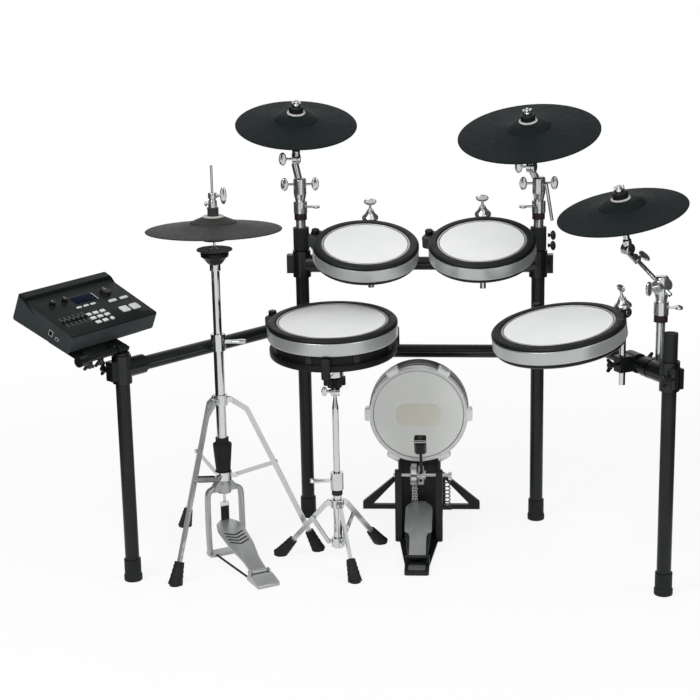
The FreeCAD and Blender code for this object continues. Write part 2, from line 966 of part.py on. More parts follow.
def cymbal(name):
    centre, normal, radius = cymbal_places()[name]
    pivot, axis = cymbal_pivot(name)
    bell_under = cymbal_rise + bell_rise
    bell_over = bell_under + cymbal_thickness
    place = axes(centre, right, normal)
    disc = put(cymbal_disc(radius, cymbal_rise), place)
    seat = put(turned([
        (cymbal_rod_radius + fit, bell_under - cymbal_seat_height - fit),
        (cymbal_seat_radius, bell_under - cymbal_seat_height - fit),
        (cymbal_seat_radius, bell_under - fit), (cymbal_rod_radius + fit, bell_under - fit)]), place)
    low = bell_over + fit
    stopper = put(turned([
        (cymbal_rod_radius + fit, low), (stopper_skirt_radius, low),
        (stopper_skirt_radius, low + stopper_skirt_height), (stopper_radius, low + stopper_skirt_height),
        (stopper_radius, low + stopper_height), (cymbal_rod_radius + fit, low + stopper_height)]), place)
    nut_low = low + stopper_height + fit
    nut = put(turned([
        (cymbal_rod_radius + fit, nut_low), (top_nut_radius, nut_low),
        (top_nut_radius, nut_low + top_nut_height),
        (cymbal_rod_radius + fit, nut_low + top_nut_height)]), place)
    tip = up * (nut_low + top_nut_height + cap_thickness)
    shoulder = up * (bell_under - cymbal_seat_height - 2 * fit)
    stem = fused(
        put(rod(-up * cymbal_rod_length, tip, cymbal_rod_radius), place),
        put(rod(-up * cymbal_rod_length, shoulder, stem_radius), place),
        rod(pivot + axis * running_gap, pivot + axis * tilter_thickness, tilter_radius))
    keep_out = rod(pivot + axis * running_gap, pivot - axis * tilter_thickness * 2,
                   tilter_radius + running_gap)
    stem = stem.cut(keep_out)
    save(name + "_cymbal", disc, stem, seat, stopper, nut)


def stand_top(base, low, tube_radius, side):
    # Rubber ring, clamp and its bolt on top of a cymbal tube
    ring = turned([
        (tube_radius + fit, low - ring_height), (ring_radius, low - ring_height),
        (ring_radius, low - fit), (tube_radius + fit, low - fit)], base)
    clamp = turned([
        (stem_radius + fit, low), (stand_clamp_radius, low),
        (stand_clamp_radius, low + stand_clamp_height),
        (stem_radius + fit, low + stand_clamp_height)], base)
    bolt = thumb_bolt(base + up * (low + stand_clamp_height / 2) + side * stand_clamp_radius, side, back)
    return ring, clamp, bolt


def stand_casting(base, low):
    # Casting on a cymbal tube's clamp: a neck that widens to a round head
    foot_height = low + stand_clamp_height + fit
    return turned([
        (0, foot_height), (casting_neck_radius, foot_height),
        (casting_radius, foot_height + casting_neck_height),
        (casting_radius, foot_height + casting_height, casting_round), (0, foot_height + casting_height)],
        base)


def stand_tail(head):
    # End of the tilting rod, which hangs beside the ride's casting
    start = head + (right - back) * tail_offset
    return fused(
        rod(head, start, tail_radius), Part.makeSphere(tail_radius, start),
        rod(start, start + right * tail_slant - up * tail_length, tail_radius))


def straight_stand(base, name, side):
    pivot, axis = cymbal_pivot(name)
    low = stand_tube_top
    chrome = tube(base + up * stand_tube_bottom, base + up * low, stand_tube_radius, stand_tube_wall)
    ring, clamp, bolt = stand_top(base, low, stand_tube_radius, side)
    head = base + up * (low + stand_clamp_height + casting_pivot_rise)
    knuckle = pivot - axis * tilter_thickness / 2
    stem = fused(
        rod(base + up * (low - stem_depth), head, stem_radius), stand_casting(base, low),
        rod(head, knuckle, upper_stem_radius),
        rod(pivot - axis * running_gap, pivot - axis * tilter_thickness, tilter_radius))
    if name == "ride":
        stem = fused(stem, stand_tail(head))
    stem = stem.cut(rod(pivot - axis * running_gap, pivot + axis * tilter_thickness * 2,
                        tilter_radius + running_gap))
    stem = stem.cut(rod(pivot - axis * tilter_thickness, pivot - axis * tilter_thickness * 2,
                        tilter_radius + running_gap))
    pin_bolt = thumb_bolt(pivot - axis * (tilter_thickness + running_gap), -axis, up)
    head_bolts = [thumb_bolt(head + way * casting_radius, way, up) for way in (right, -right)]
    return chrome, [ring], [clamp, stem], [bolt, pin_bolt] + head_bolts


def boom_stand():
    # Right crash stand: a tube beside the post, a pivot block and a boom
    pivot, axis = cymbal_pivot("crash_right")
    base = Vector(crash_right_tube_x, crash_right_tube_y, 0)
    low = crash_right_tube_top
    chrome = tube(base + up * crash_right_tube_bottom, base + up * low, crash_right_tube_radius,
                  stand_tube_wall)
    ring, clamp, bolt = stand_top(base, low, crash_right_tube_radius, right)
    block = base + up * boom_block_height
    knuckle = pivot - axis * tilter_thickness / 2
    along = unit(knuckle - block)
    level = unit(along.cross(up))
    boss = level * (casting_radius + casting_boss)
    stem = fused(
        rod(base + up * (low - stem_depth), block, stem_radius), stand_casting(base, low),
        rod(block - boss, block + boss, tilter_radius),
        rod(block - along * boom_tail, knuckle, boom_radius),
        rod(knuckle - along * boom_sleeve_length, knuckle - along * boom_sleeve_length / 4,
            boom_sleeve_radius),
        rod(pivot - axis * running_gap, pivot - axis * tilter_thickness, tilter_radius))
    stem = stem.cut(rod(pivot - axis * running_gap, pivot + axis * tilter_thickness * 2,
                        tilter_radius + running_gap))
    bolts = [
        bolt, thumb_bolt(block - boss, -level, up),
        thumb_bolt(knuckle - along * boom_sleeve_length * 3 / 4 + level * boom_sleeve_radius, level, along)]
    return chrome, [ring], [clamp, stem], bolts


def crash_right_holder():
    # Split block that holds the right crash's tube beside the rail
    start_post, end_post, height = rack_links()[1]
    toward = unit(end_post - start_post)
    base = Vector(crash_right_tube_x, crash_right_tube_y, height)
    on_rail = start_post + up * height + toward * (base - start_post - up * height).dot(toward)
    side = unit(base - on_rail)
    gap = (base - on_rail).Length
    half = toward * holder_block_width / 2
    ring = rod(on_rail - half, on_rail + half, holder_ring_radius)
    block = put(slab(holder_block_height, holder_block_width, gap + holder_block_width * 2 / 3),
                axes(on_rail, up, side))
    body = fused(ring, block)
    body = body.cut(rod(on_rail - half * 2, on_rail + half * 2, post_radius + fit))
    return body.cut(rod(base - up * holder_block_height, base + up * holder_block_height,
                        crash_right_tube_radius + fit))


def cymbals():
    for name in cymbal_places():
        cymbal(name)
    stands = [straight_stand(back_left_post, "crash_left", right),
              straight_stand(back_right_post, "ride", -right), boom_stand()]
    save("cymbal_stands", *[stand[0] for stand in stands],
         *[solid for stand in stands for solid in stand[2]])
    feet = [foot(base) for base, _ in rack_tops()]
    sleeves = [post_sleeve(back_right_post), post_sleeve(back_left_post)]
    rings = [ring for stand in stands for ring in stand[1]]
    save("rack_feet_and_caps", *feet, post_cap(front_right_post, front_right_post_top), *sleeves, *rings)
    return [crash_right_holder()], [bolt for stand in stands for bolt in stand[3]]


# Trigger module and its holder

def module_place():
    yaw = math.radians(module_yaw_deg)
    tilt = math.radians(module_tilt_deg)
    across = Vector(math.cos(yaw), math.sin(yaw), 0)
    depth = Vector(-math.sin(yaw) * math.cos(tilt), math.cos(yaw) * math.cos(tilt), math.sin(tilt))
    return axes(Vector(module_x, module_y, module_z), across, across.cross(depth))


def module_hinge():
    # Middle of the holder's barrel over the left post, and the tilt axis
    return left_post + up * (left_post_top + holder_rise), polar(module_yaw_deg)


def panel_block(width, depth, height, x, y, low, corner=0):
    block = slab(width, depth, height, corner)
    block.translate(Vector(x, y, low))
    return block


def key_places():
    # Width, depth and place of every key on the panel
    places = []
    for index in range(right_key_count):
        x = right_keys_x + index * right_keys_pitch
        places.append((long_key_width, long_key_depth, x, long_key_y))
        places.append((pad_key_width, pad_key_depth, x, pad_key_y))
    for column in range(small_key_count):
        x = small_keys_x + column * small_keys_pitch
        places.append((soft_key_width, soft_key_depth, x, soft_keys_y))
        places.append((small_key_width, small_key_depth, x, cursor_key_y))
        for row in range(small_row_count):
            places.append((small_key_width, small_key_depth, x, small_keys_y - row * small_keys_row))
    return places


def fader_places():
    return [fader_x + index * fader_pitch for index in range(fader_count)]


def knob_places():
    return [knob_x, knob_x + knob_pitch]


def module_case():
    # Wedge housing, drawn from its side, with a raised back edge, a panel recess and a hollow
    half = module_depth / 2
    side = plate([
        (-half, 0, module_edge), (half - hump_depth, 0), (half - hump_depth + hump_run, hump_rise),
        (half, hump_rise, module_edge), (half, -module_back_height, module_corner),
        (-half, -module_front_height, module_corner)], module_width)
    body = put(side, axes(-right * module_width / 2, back, right))
    recess_depth = module_depth - hump_depth - 2 * module_wall
    recess_y = -hump_depth / 2
    panel_width = module_width - 2 * module_wall
    body = body.cut(panel_block(panel_width, recess_depth, panel_thickness + overrun, 0, recess_y,
                                -panel_thickness, panel_corner))
    body = body.cut(panel_block(panel_width - 2 * panel_ledge, recess_depth - 2 * panel_ledge,
                                hollow_depth, 0, recess_y, -panel_thickness - hollow_depth))
    return body


def module_panel():
    width = module_width - 2 * module_wall - 2 * fit
    depth = module_depth - hump_depth - 2 * module_wall - 2 * fit
    panel = panel_block(width, depth, panel_thickness, 0, -hump_depth / 2, -panel_thickness, panel_corner)
    for key_width, key_depth, x, y in key_places():
        panel = panel.cut(panel_block(key_width + 2 * running_gap, key_depth + 2 * running_gap,
                                      panel_thickness + 2 * overrun, x, y, -panel_thickness - overrun))
    for x in fader_places():
        panel = panel.cut(panel_block(fader_slot_width, fader_slot_length, panel_thickness + 2 * overrun,
                                      x, fader_y, -panel_thickness - overrun))
    for x, y in [(place, knob_y) for place in knob_places()] + [(dial_x, dial_y)]:
        panel = panel.cut(rod(Vector(x, y, -panel_thickness - overrun), Vector(x, y, overrun),
                              shaft_radius + shaft_gap))
    return panel


def turning_knob(x, y, radius, height):
    # Knob with its shaft through the panel, drawn in at the waist and rounded on top
    return turned([
        (0, -panel_thickness), (shaft_radius, -panel_thickness), (shaft_radius, running_gap),
        (radius, running_gap), (radius * knob_taper_share, height, key_round), (0, height)], Vector(x, y,
        0))


def cradle_place():
    # Placement on the module's underside, with Z out of it
    rise = module_back_height - module_front_height
    slope = Vector(0, module_depth, -rise)
    middle = Vector(0, 0, -(module_back_height + module_front_height) / 2)
    return module_place().multiply(axes(middle, right, slope.cross(right)))


def module_cradle():
    # Plate under the module on four spacers, with a neck, two ears on the holder's barrel and a side tube
    place = cradle_place()
    hinge = module_hinge()[0]
    local = place.inverse().multVec(hinge)
    low = spacer_height + fit
    board = slab(cradle_width, cradle_depth, cradle_thickness, cradle_round)
    board.translate(Vector(0, cradle_shift, low))
    pieces = [board]
    for x in (-1, 1):
        for y in (-1, 1):
            foot_point = Vector(x * cradle_width / 3, y * cradle_depth / 3, fit)
            pieces.append(rod(foot_point, foot_point + up * (spacer_height + cradle_thickness / 2),
                              spacer_radius))
        inner = holder_head_width / 2 + running_gap
        start = inner if x > 0 else -inner - cradle_ear_thickness
        ear = plate([
            (local.y - cradle_ear_width, low), (local.y + cradle_ear_nose, low),
            (local.y + cradle_ear_nose, local.z + cradle_ear_nose, cradle_ear_round),
            (local.y - cradle_ear_nose, local.z + cradle_ear_nose, cradle_ear_round),
            (local.y - cradle_ear_width, low + cradle_thickness)], cradle_ear_thickness)
        pieces.append(put(ear, axes(Vector(local.x + start, 0, 0), back, right)))
    reach = right * (holder_head_width / 2 + running_gap + cradle_ear_thickness)
    pieces.append(rod(local - reach, local + reach, lug_pin_radius))
    neck_end = local.y - holder_head_radius - cradle_thickness
    pieces.append(panel_block(2 * reach.x, neck_end - cradle_shift, cradle_thickness, local.x,
                              (neck_end + cradle_shift) / 2, low))
    far = local - reach - right * mount_tube_length
    pieces.append(rod(local - reach, far, mount_tube_radius))
    pieces.append(rod(far, far + right * mount_boss_length, mount_boss_radius))
    pieces.append(panel_block(mount_arm_width, local.y - cradle_shift, cradle_thickness,
                              far.x + mount_arm_width / 2, (local.y + cradle_shift) / 2, low))
    for number in range(2):
        along = local - reach - right * (mount_bolt_place - number * mount_bolt_pitch)
        pieces.append(wing_bolt(along, up, right))
    return put(fused(*pieces), place)


def module_holder():
    # Plug in the left post's top with the barrel that the module tilts on
    hinge, axis = module_hinge()
    plug = post_radius - post_wall - fit
    stem = turned([
        (0, left_post_top - cap_plug * 2), (plug, left_post_top - cap_plug * 2), (plug, left_post_top),
        (foot_neck_radius, left_post_top), (foot_neck_radius, left_post_top + cap_thickness),
        (holder_neck_radius, left_post_top + cap_thickness), (holder_neck_radius, hinge.z), (0, hinge.z)],
        left_post)
    half = axis * holder_head_width / 2
    body = fused(stem, rod(hinge - half, hinge + half, holder_head_radius))
    return body.cut(rod(hinge - half * 2, hinge + half * 2, lug_pin_radius + fit))


def module():
    place = module_place()
    keys = [panel_block(key_width, key_depth, key_height + panel_thickness, x, y, -panel_thickness,
                        key_round)
            for key_width, key_depth, x, y in key_places()]
    faders = []
    for x in fader_places():
        cap = panel_block(fader_width, fader_depth, fader_height, x, fader_y, running_gap, key_round)
        tongue = panel_block(fader_slot_width - 2 * running_gap, fader_depth / 2,
                             panel_thickness + key_round,
                             x, fader_y, -panel_thickness)
        faders.append(fused(cap, tongue))
    screen = panel_block(screen_width, screen_depth, screen_thickness, screen_x, screen_y, 0)
    save("module_case", put(module_case(), place))
    save("module_panel", put(module_panel(), place), put(screen, place))
    save("module_keys", *[put(key, place) for key in keys])
    save("module_faders", *[put(fader, place) for fader in faders])
    for name, x in zip(("volume", "headphone"), knob_places()):
        save("module_" + name + "_knob", put(turning_knob(x, knob_y, knob_radius, knob_height), place))
    save("module_dial", put(turning_knob(dial_x, dial_y, dial_radius, dial_height), place))
    save("module_cradle", module_cradle())
    save("module_holder", module_holder())


# Folding tripods

def link_bar(start, end, side, width, thickness):
    # Flat bar with round ends from start to end, its faces square to side
    length = (end - start).Length
    half = width / 2
    bar = plate([(-half, -half, half), (length + half, -half, half), (length + half, half, half),
                 (-half, half, half)], thickness)
    bar.translate(-up * thickness / 2)
    return put(bar, axes(start, end - start, side))


def leg_plane(axis, azimuth_deg):
    # Function that turns a radius and a height into a point of one leg's plane, and that plane's side
    out = polar(azimuth_deg)
    return (lambda radius, height: axis + out * radius + up * height), up.cross(out)


def tripod_leg(axis, azimuth_deg, pivot, knee, foot_radius_out):
    # Bent bar from the sliding collar to a rubber tip on the floor
    point, side = leg_plane(axis, azimuth_deg)
    start = point(*pivot)
    bend = point(*knee)
    ground = point(foot_radius_out, 0)
    along = unit(ground - bend)
    toe = ground - along * leg_tip_base
    bar = fused(link_bar(start, bend, side, leg_bar_width, leg_bar_thickness),
                link_bar(bend, toe - along * leg_bar_width / 2, side, leg_bar_width, leg_bar_thickness))
    bar = bar.cut(rod(start - side * leg_bar_thickness, start + side * leg_bar_thickness,
                      leg_pin_radius + running_gap))
    tip_top = toe - along * leg_tip_length
    tip = fused(rod(tip_top, toe, leg_tip_radius),
                rod(point(foot_radius_out, 0), point(foot_radius_out, leg_tip_base),
                                                      leg_tip_base_radius))
    return bar, tip.cut(bar)


def tripod_strut(axis, azimuth_deg, pivot, joint):
    point, side = leg_plane(axis, azimuth_deg)
    offset = side * (leg_bar_thickness / 2 + running_gap + strut_thickness / 2)
    start = point(*pivot) + offset
    end = point(*joint) + offset
    bar = link_bar(start, end, side, strut_width, strut_thickness)
    stud = rod(end, end + side * (strut_thickness / 2 + leg_pin_radius), leg_pin_radius * 2)
    bar = fused(bar, stud)
    return bar.cut(rod(start - side * strut_thickness, start + side * strut_thickness,
                       leg_pin_radius + running_gap))


def slider_collar(axis, height, length, radius, bore, pivot_radius, azimuths):
    # Collar that slides on the stand's tube, with a pair of ears and a pin for each leg
    base = axis + up * (height - length / 2)
    pieces = [rod(base, base + up * length, radius)]
    inner = leg_bar_thickness / 2 + running_gap
    for azimuth in azimuths:
        point, side = leg_plane(axis, azimuth)
        for sign in (-1, 1):
            offset = side * sign * (inner + ear_plate / 2)
            pieces.append(link_bar(point(radius / 2, height) + offset, point(pivot_radius, height) + offset,
                                   side, leg_bar_width, ear_plate))
        reach = side * (inner + ear_plate)
        pieces.append(rod(point(pivot_radius, height) - reach, point(pivot_radius, height) + reach,
                          leg_pin_radius))
    body = fused(*pieces)
    body = body.cut(rod(base - up * overrun, base + up * (length + overrun), bore + running_gap))
    for azimuth in azimuths:
        point, side = leg_plane(axis, azimuth)
        sweep = rod(point(pivot_radius, height) - side * inner, point(pivot_radius, height) + side * inner,
                    leg_bar_width / 2 + running_gap)
        body = body.cut(sweep.cut(rod(point(pivot_radius, height) - side * inner * 2,
                                      point(pivot_radius, height) + side * inner * 2, leg_pin_radius)))
    return body


def strut_collar(axis, low, length, radius, bore, pivot, azimuths):
    # Fixed collar at the tube's foot, with a lug and a pin for each strut
    pieces = [rod(axis + up * low, axis + up * (low + length), radius)]
    for azimuth in azimuths:
        point, side = leg_plane(axis, azimuth)
        pieces.append(link_bar(point(radius / 2, pivot[1]), point(*pivot), side, strut_width,
                               leg_bar_thickness))
        outer = leg_bar_thickness / 2 + running_gap + strut_thickness + ear_plate / 2
        pieces.append(rod(point(*pivot), point(*pivot) + side * outer, leg_pin_radius))
    body = fused(*pieces)
    return body.cut(rod(axis + up * (low - overrun), axis + up * (low + length + overrun), bore + fit))


def leg_azimuths(first_deg):
    return [first_deg + index * 360 / leg_count for index in range(leg_count)]


def save_legs(name, axis, first_deg, pivot, knee, foot_out, strut_pivot, joint):
    for index, azimuth in enumerate(leg_azimuths(first_deg)):
        number = str(index + 1)
        save(name + "_leg_" + number, *tripod_leg(axis, azimuth, pivot, knee, foot_out))
        save(name + "_strut_" + number, tripod_strut(axis, azimuth, strut_pivot, joint))


def height_clamp(axis, low, height, radius, base_radius, upper_radius, azimuth_deg):
    # Split clamp on a base tube's top, with its black ring and its lever
    sunk = height / 3
    body = turned([
        (upper_radius + running_gap, low), (base_radius + fit, low), (base_radius + fit, low - sunk),
        (radius, low - sunk), (radius, low - sunk + height),
        (upper_radius + running_gap, low - sunk + height)], axis)
    out = polar(azimuth_deg)
    middle = axis + up * (low - sunk + height / 2)
    lever = link_bar(middle + out * radius, middle + out * (radius + lever_length), up, lever_width,
                     lever_thickness)
    lever = lever.cut(rod(middle - up * height, middle + up * height, radius + fit))
    return [body, lever]


# Hi-hat stand

def hihat_place():
    return axes(hihat_axis, polar(hihat_pedal_deg), up)


def hihat_frame():
    # Arched casting with its hub, floor bar and two wires to the heel plate
    half = hihat_frame_half + hihat_frame_bar / 2
    inner = hihat_frame_half - hihat_frame_bar / 2
    hub_bottom = hihat_frame_top - hihat_hub_height
    arch = plate([
        (-half, 0), (-half, hihat_frame_top - hihat_shoulder, board_round),
        (-hihat_shoulder, hihat_frame_top, board_round), (hihat_shoulder, hihat_frame_top, board_round),
        (half, hihat_frame_top - hihat_shoulder, board_round), (half, 0), (inner, 0),
        (inner, hub_bottom - board_round, board_round), (-inner, hub_bottom - board_round, board_round),
        (-inner, 0)], hihat_frame_depth)
    arch.translate(-up * hihat_frame_depth / 2)
    arch.rotate(origin, right, 90)
    hub = rod(up * hub_bottom, up * hihat_frame_top, hihat_hub_depth / 2)
    bar = slab(2 * half, hihat_hub_depth, hihat_frame_foot, board_round)
    body = fused(arch, hub, bar)
    body = body.cut(rod(up * hihat_base_bottom, up * (hihat_frame_top + overrun), hihat_base_radius + fit))
    body = body.cut(rod(up * (hub_bottom - board_round * 2), up * hihat_frame_top,
                        hihat_rod_radius + running_gap))
    heel_length = hihat_heel_end - hihat_heel_distance - hinge_radius - running_gap
    heel = panel_block(heel_width, heel_length, heel_thickness, 0, heel_length / 2 - hihat_heel_end, 0,
                       board_round)
    hinge = Vector(0, -hihat_heel_distance, hihat_heel_height)
    pieces = [heel]
    outer = hihat_neck_width / 2 + running_gap
    for sign in (-1, 1):
        start = hinge + right * sign * outer
        end = hinge + right * sign * heel_width / 2
        pieces.append(rod(start, end, hinge_radius))
        web = panel_block(heel_width / 2 - outer, hinge_radius * 4, hihat_heel_height,
                          sign * (outer + heel_width / 2) / 2, -hihat_heel_distance - hinge_radius * 2, 0)
        pieces.append(web)
        wire_start = Vector(sign * (hihat_frame_half - hihat_frame_bar),
                            -hihat_hub_depth / 2 + radius_rod, radius_rod * 2)
        wire_end = Vector(sign * (heel_width / 2 - radius_rod * 2), -hihat_heel_distance - hinge_radius,
                          radius_rod * 2)
        pieces.append(rod(wire_start, wire_end, radius_rod))
    pieces.append(rod(hinge - right * heel_width / 2, hinge + right * heel_width / 2, hinge_pin_radius))
    return put(fused(body, *pieces), hihat_place())


def footboard(hinge, toe, neck, width, toe_width, knuckle_radius):
    # Tapered tread from the hinge barrel up to the toe, in a vertical plane along Y
    along = toe - hinge
    length = along.Length
    broad = length * board_broad_share
    shoulder = length * board_shoulder_share
    tread = plate([
        (-neck / 2, knuckle_radius), (neck / 2, knuckle_radius), (width / 2, broad, board_round),
        (width / 2, shoulder, board_round), (toe_width / 2, length, board_round / 2),
        (-toe_width / 2, length, board_round / 2), (-width / 2, shoulder, board_round),
        (-width / 2, broad, board_round)], board_thickness)
    tread.translate(-up * board_thickness / 2)
    for index in range(board_groove_count):
        low = broad + (shoulder - broad) * index / board_groove_count
        for sign in (-1, 1):
            groove = rod(Vector(0, low + board_groove_rise, board_thickness / 2),
                         Vector(sign * width / 2 * board_groove_share, low, board_thickness / 2),
                         board_groove)
            tread = tread.cut(groove)
    neck_plate = panel_block(neck, knuckle_radius * 2, board_thickness, 0, knuckle_radius,
                             -board_thickness / 2)
    barrel = rod(-right * neck / 2, right * neck / 2, knuckle_radius)
    body = fused(tread, neck_plate, barrel)
    body = body.cut(rod(-right * neck, right * neck, hinge_pin_radius + running_gap))
    return put(body, axes(hinge, right, right.cross(along)))


def hihat_pad():
    # Bowed disc with a hub underneath that comes down on the seat
    lower = cymbal_disc(hihat_pad_radius, hihat_pad_rise)
    lower.translate(up * hihat_pad_z)
    hub_top = hihat_pad_z + hihat_pad_rise
    hub = turned([
        (cymbal_hole_radius, hihat_hub_bottom), (hihat_hub_radius, hihat_hub_bottom, board_round),
        (hihat_hub_radius, hub_top + bell_rise), (cymbal_hole_radius, hub_top + bell_rise)])
    body = fused(lower, hub)
    return put(body, axes(hihat_axis, right, up))


def hihat_clutch():
    bore = hihat_rod_radius + fit
    low = hihat_clutch_bottom
    nut = low + hihat_clutch_foot
    top = nut + hihat_clutch_nut
    end = top + hihat_clutch_top
    stem_bottom = hihat_pad_z + hihat_pad_rise + bell_rise + cymbal_thickness + fit
    body = turned([
        (bore, stem_bottom), (hihat_clutch_foot_radius, stem_bottom),
        (hihat_clutch_foot_radius, nut), (hihat_clutch_nut_radius, nut),
        (hihat_clutch_nut_radius, top), (hihat_clutch_top_radius, top), (hihat_clutch_top_radius, end),
        (bore, end)], hihat_axis)
    bolt = thumb_bolt(hihat_axis + up * (top + end) / 2 + right * hihat_clutch_top_radius, right, up)
    return body, bolt


def hihat_boot():
    # Flared sleeve on the tube's foot, widest just under its neck
    bore = hihat_base_radius + fit
    return turned([
        (bore, hihat_boot_top), (bore, hihat_boot_bottom), (hihat_boot_foot, hihat_boot_bottom),
        (hihat_boot_radius, hihat_boot_waist - hihat_boot_rim), (hihat_boot_radius, hihat_boot_waist),
        (hihat_boot_neck, hihat_boot_waist + hihat_boot_rim), (hihat_boot_neck, hihat_boot_top)],
        hihat_axis)


def hihat_seat():
    bore = hihat_upper_radius + fit
    collar = hihat_seat_bottom + hihat_seat_collar
    waist = hihat_seat_waist
    return turned([
        (bore, hihat_seat_bottom), (waist, hihat_seat_bottom), (waist, collar),
        (hihat_seat_radius, hihat_seat_top - hihat_seat_wall * 2), (hihat_seat_radius, hihat_seat_top),
        (hihat_seat_radius - hihat_seat_wall, hihat_seat_top), (waist, collar + hihat_seat_wall * 2),
        (hihat_rod_radius + running_gap, collar + hihat_seat_wall * 2),
        (hihat_rod_radius + running_gap, hihat_upper_top + fit), (bore, hihat_upper_top + fit)], hihat_axis)


def hihat_rod():
    # Pull rod with its shackle, and the strap down to the footboard's toe
    place = hihat_place()
    strap_bottom = hihat_toe_height + strap_lift
    shackle_bottom = strap_bottom + shackle_height
    pull = rod(up * (shackle_bottom + strap_thickness), up * hihat_rod_top, hihat_rod_radius)
    shackle = panel_block(strap_width, strap_width / 2, strap_thickness * 2, 0, 0, shackle_bottom)
    strap = panel_block(strap_width, strap_thickness, shackle_height - fit, 0, 0, strap_bottom)
    return put(fused(pull, shackle), place), put(strap, place)


def hihat():
    azimuths = leg_azimuths(hihat_first_leg_deg)
    base_wall = hihat_base_radius - hihat_upper_radius - running_gap
    base = tube(hihat_axis + up * (hihat_base_bottom + fit), hihat_axis + up * hihat_base_top,
                hihat_base_radius, base_wall)
    strut_pivot = (hihat_strut_pivot_radius, hihat_strut_pivot_height)
    low_collar = strut_collar(hihat_axis, hihat_low_collar_bottom,
                              hihat_boot_bottom - hihat_low_collar_bottom - fit,
                              hihat_low_collar_radius, hihat_base_radius, strut_pivot, azimuths)
    clamp = height_clamp(hihat_axis, hihat_base_top, hihat_clamp_height, hihat_clamp_radius,
                         hihat_base_radius,
                         hihat_upper_radius, 0)
    save("hihat_base_tube", base, low_collar, *clamp, hihat_boot())
    save("hihat_frame", hihat_frame())
    upper = tube(hihat_axis + up * hihat_upper_bottom, hihat_axis + up * hihat_upper_top,
                 hihat_upper_radius,
                 post_wall)
    save("hihat_upper_tube", upper, hihat_seat())
    save("hihat_rod", *hihat_rod())
    save("hihat_clutch", *hihat_clutch())
    save("hihat_pad", hihat_pad())
    hinge = Vector(0, -hihat_heel_distance, hihat_heel_height)
    toe = Vector(0, hihat_toe_distance, hihat_toe_height)
    board = footboard(hinge, toe, hihat_neck_width, hihat_board_width, hihat_toe_width, hinge_radius)
    save("hihat_footboard", put(board, hihat_place()))
    save("hihat_collar",
         slider_collar(hihat_axis, hihat_collar_height, hihat_collar_length, slider_collar_radius,
                                       hihat_base_radius, hihat_leg_pivot_radius, azimuths))
    save_legs("hihat", hihat_axis, hihat_first_leg_deg, (hihat_leg_pivot_radius, hihat_collar_height),
              (hihat_leg_knee_radius, hihat_leg_knee_height), hihat_foot_radius, strut_pivot,
              (hihat_joint_radius, hihat_joint_height))


# Snare pad and stand

def snare_place():
    # Frame of the tilting basket, from the tilter's pivot along the pad's normal
    return axes(snare_axis + up * snare_tilter_height, right, lean(snare_lean_x_share, snare_lean_y_share))


def snare_casing():
    # Deep cup set in from the band, with a lip round its foot
    top = -rim_lip - head_thickness - 2 * fit
    wall = snare_radius - band_wall - fit
    low = rim_height + band_height
    inset = snare_radius - snare_recess
    floor = -low - snare_depth
    step = -rim_height - fit
    return turned([
        (0, floor), (inset + snare_lip, floor), (inset + snare_lip, floor + snare_lip_height),
        (inset, floor + snare_lip_height), (inset, -low - fit), (wall, -low - fit), (wall, step),
        (snare_head_radius + head_seat, step), (snare_head_radius + head_seat, top), (0, top)])


def snare_basket():
    # Hub, star knob and three arms with rubber tips that hold the pad's lip
    head = snare_head_z - snare_tilter_height
    floor = head - rim_height - band_height - snare_depth
    lip = snare_radius - snare_recess + snare_lip
    tip_radius = lip + snare_tip_radius + 2 * fit
    hub_low = snare_hub_bottom - snare_tilter_height
    star_low = snare_star_bottom - snare_tilter_height
    pieces = [
        rod(up * hub_low, up * (hub_low + snare_hub_height), snare_hub_radius),
        rod(origin, up * hub_low, snare_upper_radius),
        rod(right * running_gap, right * snare_tilter_radius, snare_tilter_radius)]
    tips = []
    for index in range(snare_arm_count):
        out = polar(snare_arm_first_deg + index * 360 / snare_arm_count)
        elbow = out * tip_radius + up * (floor - snare_tip_radius)
        pieces.append(rod(up * (hub_low + snare_hub_height / 2), elbow, snare_arm_radius))
        pieces.append(rod(elbow - up * snare_arm_radius, elbow + up * snare_tip_height / 2,
                          snare_arm_radius))
        tips.append(turned([
            (snare_arm_radius + fit, -snare_tip_radius), (snare_tip_radius, -snare_tip_radius),
            (snare_tip_radius, snare_tip_height, snare_arm_radius), (0, snare_tip_height),
            (0, snare_tip_height / 2 + fit), (snare_arm_radius + fit, snare_tip_height / 2 + fit)],
            elbow + up * snare_tip_radius))
    body = fused(*pieces)
    body = body.cut(rod(right * running_gap, -right * snare_tilter_radius * 2,
                        snare_tilter_radius + running_gap))
    for tip in tips:
        body = body.cut(tip)
    star = [rod(up * star_low, up * (star_low + snare_star_height), snare_star_radius * star_core_share)]
    for index in range(snare_star_count):
        lobe = polar(index * 360 / snare_star_count, snare_star_radius * star_core_share)
        star.append(rod(lobe + up * star_low, lobe + up * (star_low + snare_star_height),
                        snare_star_radius * star_lobe_share))
    star = fused(*star).cut(rod(origin, up * head, snare_upper_radius + fit))
    return [put(piece, snare_place()) for piece in [body, star] + tips]


